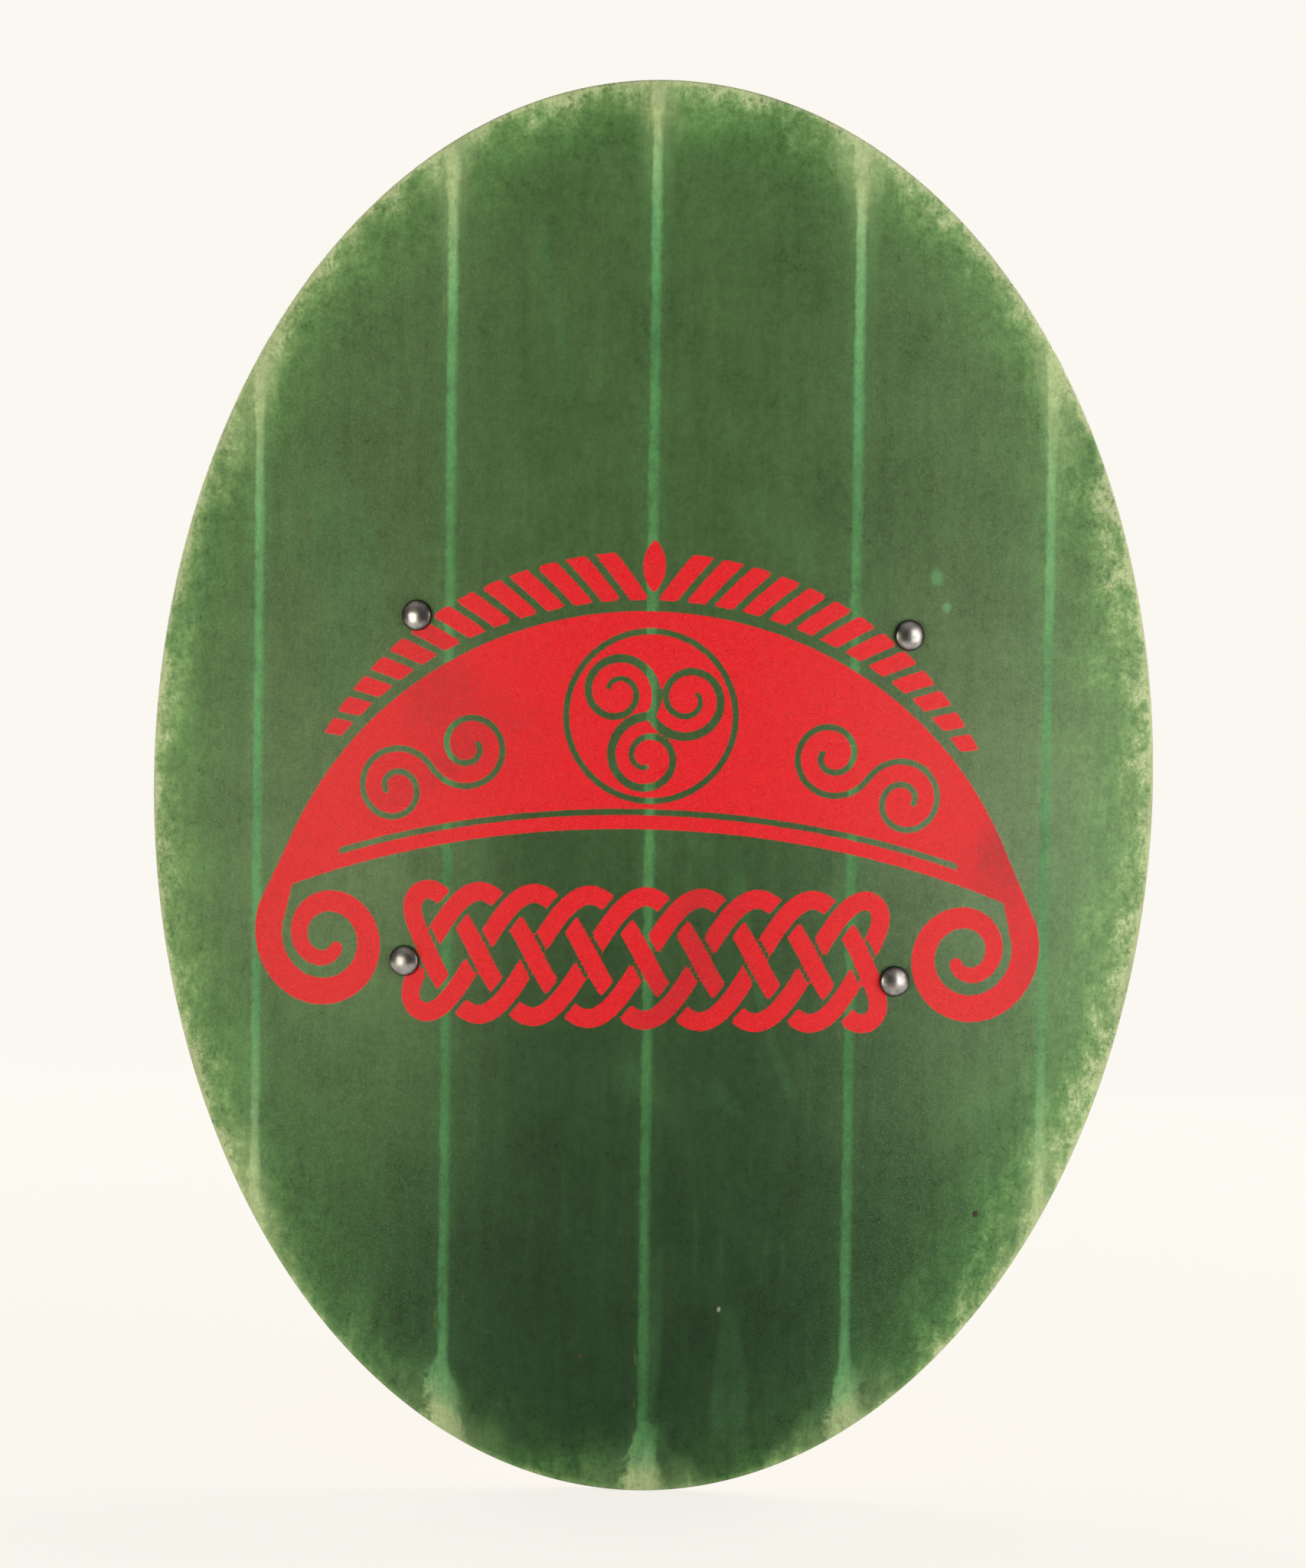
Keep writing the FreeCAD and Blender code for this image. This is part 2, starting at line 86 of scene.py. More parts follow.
# A mesh from points in millimetres. Faces are rows of point numbers, of three or more corners.
def makePiece(name, points, faces, material, stands, sharpAngle=50):
    mesh = bpy.data.meshes.new(name)
    mesh.from_pydata((points / 1000).tolist(), [], [row for part in faces for row in part.tolist()])
    mesh.polygons.foreach_set("use_smooth", np.ones(len(mesh.polygons), bool))
    mesh.set_sharp_from_angle(angle=math.radians(sharpAngle))
    mesh.materials.append(material)
    mesh.update()
    piece = addObject(name, mesh)
    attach(piece, "root")
    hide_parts(*stands)
    return piece


# One number, or one place of three numbers, for each point of a piece.
def setAttribute(piece, name, values):
    values = np.asarray(values, np.float32).ravel()
    vector = values.size > len(piece.data.vertices)
    attribute = piece.data.attributes.new(name, "FLOAT_VECTOR" if vector else "FLOAT", "POINT")
    attribute.data.foreach_set("vector" if vector else "value", values)


# The quads of a net of points, row after row. Each row may close on itself.
def netFaces(rows, columns, closed=False):
    i, j = np.meshgrid(np.arange(rows - 1), np.arange(columns if closed else columns - 1), indexing="ij")
    nextJ = (j + 1) % columns
    corners = [i * columns + j, i * columns + nextJ, (i + 1) * columns + nextJ, (i + 1) * columns + j]
    return np.stack([corner.ravel() for corner in corners], 1)


# A point of the bent board: how far right and up in front view, and how deep behind the
# front face. The depth runs along the radius of the bend, so Y follows a circle.
def boardPoints(right, up, depth):
    radius = board["bendRadius"]
    y = frontY + radius - np.sqrt((radius - depth) ** 2 - right**2)
    return np.stack([middleX + right, y, middleZ + up], 1)


# Distance in from the rim, in front view: the ellipse's own value less one, over its slope.
def rimDistance(right, up):
    value = np.sqrt((right / halfWide) ** 2 + (up / halfHigh) ** 2) + 1e-9
    slope = np.sqrt((right / halfWide**2) ** 2 + (up / halfHigh**2) ** 2) / value + 1e-9
    return np.minimum((1 - value) / slope, 200.0)


plyNet = {
    "face": (300, 262),  # columns, rows
    "back": (110, 140),
    "crowd": 0.5,  # rows lie closer towards the middle, where the print is
    "inset": 1.5,  # mm from the rim to the net's border
    # rings round the rim: mm in from it, mm deep
    "rim": [(0.8, 0.0), (0.5, 0.05), (0.22, 0.2), (0.06, 0.45), (0.0, 0.8), (0.0, 1.2)],
    "hidden": [0.86, 0.7, 0.54, 0.38, 0.22],  # rings behind, as shares of the ellipse
}


# One outer ply. A square net from -1 to 1 is pressed into the ellipse: right is across times the
# root of 1 - upwards squared / 2, up is upwards times the root of 1 - across squared / 2. Rings
# carry it round the rim and close it behind.
def makePly(name, surface, hidden, columns, rows, slot, material, stands):
    inward = 1 if hidden > surface else -1
    u = np.linspace(-1, 1, columns + 1)
    v = np.linspace(-1, 1, rows + 1)
    v = v * (1 - plyNet["crowd"]) + plyNet["crowd"] * v**3
    across, upwards = np.meshgrid(u, v)
    inset = plyNet["inset"]
    right = ((halfWide - inset) * across * np.sqrt(1 - upwards**2 / 2)).ravel()
    up = ((halfHigh - inset) * upwards * np.sqrt(1 - across**2 / 2)).ravel()
    depth = np.full(right.shape, float(surface))
    wall = np.zeros(right.shape)
    number = np.arange(right.size).reshape(rows + 1, columns + 1)
    border = np.concatenate([number[0, :-1], number[:-1, -1], number[-1, :0:-1], number[:0:-1, 0]])
    turn = np.arctan2(up[border] / (halfHigh - inset), right[border] / (halfWide - inset))
    edge = np.stack([halfWide * np.cos(turn), halfHigh * np.sin(turn)])
    normal = np.stack([np.cos(turn) / halfWide, np.sin(turn) / halfHigh])
    normal /= np.hypot(*normal)
    rings = [(*(edge - normal * gap), surface + inward * deep, deep) for gap, deep in plyNet["rim"]]
    rings += [(*(edge * share), hidden, board["plyThick"]) for share in plyNet["hidden"]]
    ones = np.ones(len(border))
    last = (0.0, 0.0, hidden, board["plyThick"])
    right, up, depth, wall = (
        np.concatenate([flat, *(ones * ring[n] for ring in rings), [last[n]]])
        for n, flat in enumerate((right, up, depth, wall))
    )
    ringNumbers = number.size + np.arange(len(rings) * len(border)).reshape(len(rings), len(border))
    ringNumbers = np.vstack([border, ringNumbers])
    a, b = ringNumbers[:-1], ringNumbers[1:]
    around = np.stack([a, b, np.roll(b, -1, 1), np.roll(a, -1, 1)], 2).reshape(-1, 4)
    inmost = ringNumbers[-1]
    fan = np.stack([inmost, np.full(len(inmost), right.size - 1), np.roll(inmost, -1)], 1)
    faces = [netFaces(rows + 1, columns + 1), around, fan]
    if inward < 0:
        faces = [part[:, ::-1] for part in faces]
    piece = makePiece(name, boardPoints(right, up, depth), faces, material, stands)
    arc = board["bendRadius"] * np.arcsin(np.clip(right / board["bendRadius"], -1, 1))
    setAttribute(piece, "flatPlace", np.stack([arc, up, depth * 0], 1) / 1000)
    setAttribute(piece, "rimDistance", rimDistance(right, up))
    setAttribute(piece, "wallDepth", wall)
    return piece, arc, up, wall


ornament = {
    "middle": (-0.5, -1.0),
    "line": 1.15,  # half the width of the lines left green
    "outer": (-78.2, 143.2),  # the two circles of the crescent: centre, radius
    "inner": (-366.0, 354.0),
    "innerLine": (6.0, 112.0),
    "roundel": (28.0, 30.0),
    "arms": {"count": 3, "heading": 60, "radii": (14.5, 3.4), "turns": 1.55, "halves": (1.7, 0.9)},
    "scroll": {"middle": (78.0, 7.5), "heading": 55, "radii": (15.5, 3.2), "turns": 1.5},
    "horn": {"from": (129.0, -22.0), "to": (137.5, -46.0), "radii": (23.0, 5.0), "turns": 1.5,
             "halves": (2.5, 5.4, 2.3)},
    "bars": {"count": 27, "spread": 52.0, "off": 4.0, "tall": 17.0, "slant": 0.62, "fill": 0.29},
    "leaf": {"aside": 9.0, "up": 81.0, "radius": 13.0, "foot": 70.5},
    "plait": {"up": -58.0, "wide": 84.0, "tall": 22.0, "waves": 9, "half": 3.3, "gap": 1.8},
    "room": (165.0, 110.0),  # the print stays within these, across and up
    "farAway": 6.0,  # the field's largest value
}


# Distance to a line of samples less half the line's width there: the least over all samples.
def strokeField(x, y, path, half, reach=9.0):
    field = np.full(x.shape, reach)
    half = np.broadcast_to(half, len(path))
    low, high = path.min(0) - reach - half.max(), path.max(0) + reach + half.max()
    near = (x > low[0]) & (x < high[0]) & (y > low[1]) & (y < high[1])
    nearX, nearY = x[near], y[near]
    best = np.full(nearX.shape, reach)
    for part in np.array_split(np.arange(len(path)), max(1, len(path) // 60)):
        gap = np.hypot(nearX[:, None] - path[part, 0], nearY[:, None] - path[part, 1]) - half[part]
        best = np.minimum(best, gap.min(1, initial=reach))
    field[near] = best
    return field


# A line that winds inwards: its radius shrinks evenly from the first to the second as it turns.
def curlPath(start, heading, radii, turns, hand=1, count=420):
    turned = np.linspace(0, 2 * np.pi * turns, count)
    step = np.linspace(*radii, count) * turned[1]
    angle = np.radians(heading) + hand * turned
    path = np.cumsum(np.stack([np.cos(angle), np.sin(angle)], 1) * step[:, None], 0)
    return path - path[0] + start


def crossed(a, b):
    return a[:, 0] * b[:, 1] - a[:, 1] * b[:, 0]


# A closed line laid over and under itself by turns. The steps that cross are found by solving
# each pair as two lines. Near a crossing the lower strand is cut back from the upper by the gap.
def weaveField(x, y, path, half, gap):
    field = strokeField(x, y, path, half)
    count = len(path)
    step = np.roll(path, -1, 0) - path
    i, j = np.triu_indices(count, 3)
    apart = (i > 0) | (j < count - 2)
    i, j = i[apart], j[apart]
    between = path[j] - path[i]
    cross = crossed(step[i], step[j])
    cross = np.where(np.abs(cross) < 1e-12, 1e-12, cross)
    t, s = crossed(between, step[j]) / cross, crossed(between, step[i]) / cross
    hit = (t >= 0) & (t < 1) & (s >= 0) & (s < 1)
    first, second, spots = i[hit], j[hit], path[i[hit]] + step[i[hit]] * t[hit][:, None]
    even = np.argsort(np.argsort(np.concatenate([first, second])))[: len(first)] % 2 == 0
    reach = half * 1.5 + gap * 1.6
    spread = int(reach * 2.2 / np.hypot(*step.T).mean())
    for over, under, spot in zip(np.where(even, first, second), np.where(even, second, first), spots):
        near = np.where(np.hypot(x - spot[0], y - spot[1]) < reach)
        strands = [path[(n + np.arange(-spread, spread + 1)) % count] for n in (over, under)]
        top, low = (strokeField(x[near], y[near], strand, half) for strand in strands)
        field[near] = np.minimum(top, np.maximum(low, gap - top))
    return field


# How far a place lies outside the red, less than nothing inside it: a crescent between two
# circles with curled horns, less the lines left green, with slanted bars above and a plait below.
def ornamentField(x, y):
    o = ornament
    x, y = x - o["middle"][0], y - o["middle"][1]
    side = np.abs(x)
    outer = np.hypot(x, y - o["outer"][0]) - o["outer"][1]
    inner = o["inner"][1] - np.hypot(x, y - o["inner"][0])
    horn = o["horn"]
    drop = np.linspace(horn["from"], horn["to"], 60)
    heading = np.degrees(np.arctan2(*(drop[-1] - drop[0])[::-1]))
    curl = np.concatenate([drop, curlPath(drop[-1], heading, horn["radii"], horn["turns"], -1)])
    half = np.interp(np.arange(len(curl)), [0, 60, len(curl)], horn["halves"])
    solid = np.minimum(np.maximum(outer, inner), strokeField(side, y, curl, half))
    up, radius = o["roundel"]
    cuts = np.abs(np.hypot(x, y - up) - radius) - o["line"]
    arms = o["arms"]
    for arm in range(arms["count"]):
        path = curlPath((0, up), arms["heading"] + 360 / arms["count"] * arm, arms["radii"], arms["turns"])
        cuts = np.minimum(cuts, strokeField(x, y, path, np.linspace(*arms["halves"], len(path))))
    scroll = o["scroll"]
    for half in (0, 180):
        path = curlPath(scroll["middle"], scroll["heading"] + half, scroll["radii"], scroll["turns"], -1)
        cuts = np.minimum(cuts, strokeField(side, y, path, o["line"]))
    off, reach = o["innerLine"]
    cuts = np.minimum(cuts, np.maximum(np.abs(inner + off) - o["line"], side - reach))
    field = np.maximum(solid, -cuts)
    bars = o["bars"]
    angle = np.degrees(np.arctan2(side, y - o["outer"][0]))
    tall = bars["tall"] * (0.3 + 0.7 * np.clip(1 - (angle / bars["spread"]) ** 2, 0, 1))
    along = np.radians(angle) * o["outer"][1] - bars["slant"] * (outer - bars["off"])
    pitch = 2 * np.radians(bars["spread"]) * o["outer"][1] / bars["count"]
    nearest = np.clip(np.round(along / pitch - 0.5) + 0.5, 0.5, bars["count"] // 2 - 0.5)
    across = np.abs(along - nearest * pitch) / np.hypot(1, bars["slant"]) - bars["fill"] * pitch
    field = np.minimum(field, np.maximum(across, np.abs(outer - bars["off"] - tall / 2) - tall / 2))
    leaf = o["leaf"]
    leafField = np.maximum(np.hypot(side + leaf["aside"], y - leaf["up"]) - leaf["radius"], leaf["foot"] - y)
    field = np.minimum(field, leafField)
    plait = o["plait"]
    t = np.linspace(0, 2 * np.pi, 1200, endpoint=False)
    path = np.stack([
        plait["wide"] * np.arcsin(np.sin(2 * t) * 0.995) / np.arcsin(0.995),
        plait["up"] + plait["tall"] * np.sin(plait["waves"] * t),
    ], 1)
    return np.minimum(field, weaveField(x, y, path, plait["half"], plait["gap"]))


# An 8-bit screen colour as the linear one for the shader.
def paint(red, green, blue):
    share = np.array([red, green, blue]) / 255
    value = np.where(share <= 0.04045, share / 12.92, ((share + 0.055) / 1.055) ** 2.4)
    return (*value.tolist(), 1.0)


# Writes shader nodes in few words. Values are numbers or sockets.
class NodeNet:
    def __init__(self, tree):
        self.tree = tree
        self.count = 0

    def add(self, kind, inputs=None, **settings):
        node = self.tree.nodes.new("ShaderNode" + kind)
        node.location = (self.count // 6 * 220, -(self.count % 6) * 190)
        self.count += 1
        for name, value in settings.items():
            setattr(node, name, value)
        for key, value in (inputs or {}).items():
            self.feed(node.inputs[key], value)
        return node

    def feed(self, socket, value):
        if isinstance(value, bpy.types.NodeSocket):
            self.tree.links.new(value, socket)
        else:
            socket.default_value = value

    def sum(self, operation, *values, clamp=False):
        node = self.add("Math", operation=operation, use_clamp=clamp)
        for socket, value in zip(node.inputs, values):
            self.feed(socket, value)
        return node.outputs[0]

    def plus(self, first, *others):
        for other in others:
            first = self.sum("ADD", first, other)
        return first

    def times(self, first, *others):
        for other in others:
            first = self.sum("MULTIPLY", first, other)
        return first

    def less(self, first, second):
        return self.sum("SUBTRACT", first, second)

    def larger(self, first, second):
        return self.sum("MAXIMUM", first, second)

    # a straight line: the value times its slope, and its start
    def straight(self, value, slope, start):
        return self.sum("MULTIPLY_ADD", value, slope, start)

    def size(self, value):
        return self.sum("ABSOLUTE", value)

    # a noise brought to either side of nought
    def around(self, value, share):
        return self.straight(value, share, -share / 2)

    # smooth from one value to another as the input runs from low to high
    def ease(self, value, low, high, fromValue=0.0, toValue=1.0):
        node = self.add("MapRange", {0: value, 1: low, 2: high, 3: fromValue, 4: toValue})
        node.interpolation_type = "SMOOTHSTEP"
        return node.outputs[0]

    # the same downwards, from one to nought
    def fade(self, value, low, high):
        return self.ease(value, low, high, 1.0, 0.0)

    def blend(self, share, first, second, kind="MIX"):
        node = self.add("Mix", {0: share, 6: first, 7: second}, data_type="RGBA", blend_type=kind)
        return node.outputs[2]

    def steps(self, value, stops):
        node = self.add("ValToRGB", {0: value})
        ramp = node.color_ramp
        while len(ramp.elements) < len(stops):
            ramp.elements.new(0.5)
        for element, (place, colour) in zip(ramp.elements, stops):
            element.position, element.color = place, colour
        return node.outputs[0]

    def join(self, x, y, z=0.0):
        return self.add("CombineXYZ", {0: x, 1: y, 2: z}).outputs[0]

    def parts(self, place):
        return self.add("SeparateXYZ", {0: place}).outputs

    def vector(self, operation, first, second):
        node = self.add("VectorMath", {0: first, 1: second}, operation=operation)
        return node.outputs["Value" if operation in ("LENGTH", "DISTANCE") else "Vector"]

    def shade(self, colour, tone):
        return self.blend(1.0, colour, self.join(tone, tone, tone), "MULTIPLY")

    def scaled(self, place, x, y, z=1.0):
        return self.vector("MULTIPLY", place, (x, y, z))

    def mapped(self, place, turn, scale=(1.0, 1.0, 1.0)):
        inputs = {"Vector": place, "Rotation": turn, "Scale": scale}
        return self.add("Mapping", inputs).outputs[0]

    def noise(self, place, scale, detail=3.0, rough=0.5, twist=0.0):
        inputs = {"Vector": place, "Scale": scale, "Detail": detail, "Roughness": rough, "Distortion": twist}
        return self.add("TexNoise", inputs).outputs[0]

    # distance to the walls between cells
    def walls(self, place, scale):
        inputs = {"Vector": place, "Scale": scale}
        return self.add("TexVoronoi", inputs, feature="DISTANCE_TO_EDGE").outputs[0]

    def attribute(self, name, output="Fac"):
        return self.add("Attribute", attribute_name=name).outputs[output]

    def coordinates(self, kind="Object"):
        return self.add("TexCoord").outputs[kind]

    def group(self, tree, **inputs):
        node = self.add("Group", node_tree=tree)
        for name, value in inputs.items():
            self.feed(node.inputs[name], value)
        return node.outputs

    # colour, roughness and bump go to the sockets of the material's own shader
    def finish(self, colour, rough, height, bumpDepth, bumpStrength=1.0):
        inputs = {"Height": height, "Distance": bumpDepth, "Strength": bumpStrength}
        bump = self.add("Bump", inputs).outputs[0]
        for key, value in (("Base Color", colour), ("Roughness", rough), ("Normal", bump)):
            self.feed(self.shader.inputs[key], value)
        return self.material


# An empty shader group. Each input is a place or a number, as its default is. Outputs are numbers.
def startGroup(name, inputs, outputs):
    tree = bpy.data.node_groups.new(name, "ShaderNodeTree")
    for socketName, default in inputs.items():
        kind = "NodeSocketFloat" if isinstance(default, float) else "NodeSocketVector"
        tree.interface.new_socket(socketName, in_out="INPUT", socket_type=kind).default_value = default
    for socketName in outputs:
        tree.interface.new_socket(socketName, in_out="OUTPUT", socket_type="NodeSocketFloat")
    given, made = tree.nodes.new("NodeGroupInput"), tree.nodes.new("NodeGroupOutput")
    given.location, made.location = (-300, 0), (1500, 0)
    return tree, NodeNet(tree), given.outputs, made.inputs


def startMaterial(name):
    material = bpy.data.materials.new(name)
    material.use_nodes = True
    net = NodeNet(material.node_tree)
    net.material, net.shader = material, material.node_tree.nodes["Principled BSDF"]
    net.shader.location = (2400, 0)
    material.node_tree.nodes["Material Output"].location = (2700, 0)
    return net


# Wood seen along its grain, which runs up the place's second axis: fibre streaks, short pores
# and the slow lines of the figure.
def makeWoodGroup():
    tree, net, given, made = startGroup(
        "woodGrain",
        {"Place": (0.0, 0.0, 0.0), "Fibre": 1300.0, "Stretch": 0.05, "Figure": 9.0},
        ("Streaks", "Pores", "Figure", "Height"),
    )
    long = net.vector("MULTIPLY", given["Place"], net.join(1.0, given["Stretch"], 1.0))
    fine = net.noise(long, given["Fibre"], 4.0, 0.6)
    broad = net.noise(long, net.times(given["Fibre"], 0.17), 2.0, 0.5)
    pores = net.noise(net.scaled(long, 1.0, 1.6), net.times(given["Fibre"], 1.7), 1.0, 0.4)
    pores = net.ease(pores, 0.63, 0.73)
    slow = net.noise(net.scaled(given["Place"], 1.0, 0.32), given["Figure"], 1.5, 0.45, 0.6)
    net.feed(made["Streaks"], net.plus(net.times(fine, 0.6), net.times(broad, 0.4)))
    net.feed(made["Pores"], pores)
    net.feed(made["Figure"], net.ease(net.sum("SINE", net.times(slow, 58.0)), 0.72, 1.0))
    net.feed(made["Height"], net.less(fine, net.times(pores, 0.7)))
    return tree


# Slow light and dark patches, a fine even speckle, and thin hair scratches.
def makeWearGroup():
    tree, net, given, made = startGroup(
        "surfaceWear",
        {"Place": (0.0, 0.0, 0.0), "Patch": 30.0, "Speckle": 1700.0},
        ("Patches", "Speckle", "Scratches"),
    )
    patches = net.noise(given["Place"], given["Patch"], 3.0, 0.55, 0.4)
    aslant = net.mapped(given["Place"], (0.6, 0.5, 0.4), (0.85, 1.25, 1.0))
    speckle = net.ease(net.noise(aslant, given["Speckle"], 2.5, 0.75), 0.3, 0.75)
    twisted = net.noise(given["Place"], net.times(given["Patch"], 1.4), 1.0, 0.5)
    bent = net.vector("ADD", given["Place"], net.join(net.times(twisted, 0.012), net.times(twisted, 0.02)))
    scratches = net.fade(net.walls(bent, net.times(given["Patch"], 2.2)), 0.0, 0.012)
    net.feed(made["Patches"], patches)
    net.feed(made["Speckle"], speckle)
    net.feed(made["Scratches"], net.times(scratches, net.ease(patches, 0.5, 0.62)))
    return tree


# A round soft mark at one place of the face: 1 in its middle, 0 past its radius.
def makeMarkGroup():
    tree, net, given, made = startGroup(
        "smallMark",
        {"Place": (0.0, 0.0, 0.0), "Middle": (0.0, 0.0, 0.0), "Radius": 0.001, "Long": 1.0},
        ("Mark",),
    )
    away = net.vector("SUBTRACT", given["Place"], given["Middle"])
    away = net.vector("MULTIPLY", away, net.join(1.0, net.sum("DIVIDE", 1.0, given["Long"])))
    length = net.vector("LENGTH", away, (0.0, 0.0, 0.0))
    ragged = net.times(net.less(net.noise(given["Place"], 900.0, 2.0), 0.5), given["Radius"], 0.9)
    share = net.sum("DIVIDE", net.plus(length, ragged), given["Radius"])
    net.feed(made["Mark"], net.fade(share, 0.35, 1.0))
    return tree


woodGrain, surfaceWear, smallMark = makeWoodGroup(), makeWearGroup(), makeMarkGroup()


stain = {
    "tones": [(0.0, paint(8, 50, 6)), (0.5, paint(51, 83, 40)), (1.0, paint(68, 99, 51))],  # foot to top
    "thinning": [(0.0, paint(88, 156, 74)), (0.35, paint(110, 168, 90)),  # from stained to nearly bare
                 (0.7, paint(142, 180, 112)), (1.0, paint(184, 198, 148))],
    "leftSheenTint": (4.5, 2.65, 4.5, 1.0),  # how much paler each screen colour is towards the sides: painted sheen, the side lamps' glare painted into the colour
    "rightSheenTint": (5.5, 3.05, 6.2, 1.0),
    # pale specks: a faint grain everywhere, and painted glints towards the sides
    "grainAndGlint": paint(168, 178, 150),
    "rimReach": (13.0, 13.5, 19.0),  # mm in which the thinning falls to a third
    "linePitch": 72.27,  # mm from line to line
    "lineShift": 0.43,  # mm that they lie to the left
    "lineSkew": 0.01286,  # mm to the left for each mm up
    "lineTones": [(0.0, paint(188, 205, 152)), (0.16, paint(178, 200, 142)), (0.28, paint(144, 187, 128)),
                  (0.45, paint(114, 174, 112)), (0.75, paint(92, 157, 97)), (1.0, paint(81, 142, 83))],
    "lineReach": 92.0,  # mm from the rim to where a line has its plain tone
    "lineFoot": (0.5, 0.62, 0.54, 1.0),  # the lines' darkening towards the foot
    "sliver": paint(158, 162, 96),
    "figure": paint(70, 124, 72),
    "pore": paint(34, 56, 30),
    "red": paint(230, 6, 27),
    "redDull": paint(186, 20, 30),
    # the print's pale tone: painted sheen towards the sides, and pale specks over all of it
    "redSheenAndSpecks": paint(232, 180, 160),
    "edge": paint(150, 104, 72),
    "edgeDark": paint(112, 78, 52),
    "veil": (0.025, 0.025, 0.025, 1.0),  # keeps the grain as strong on dark stain as on pale
    "darkest": 0.74,  # the least share of its tone that grain leaves
    "roughness": 0.34,
    "specular": 0.29,
    "relief": 0.0001,
}
# small marks: place across and up, radius (mm), how much longer than wide, colour, share
stainMarks = [
    ((122.0, -149.7), 1.8, 1.0, paint(52, 24, 16), 0.92),
    ((29.0, -184.0), 0.8, 1.5, paint(170, 176, 150), 0.8),
    ((100.5, 78.4), 3.2, 1.3, paint(108, 166, 108), 0.55),
    ((104.5, 67.9), 2.2, 1.2, paint(112, 168, 112), 0.65),
    ((-19.8, -202.2), 0.6, 1.0, paint(150, 60, 50), 0.6),
]
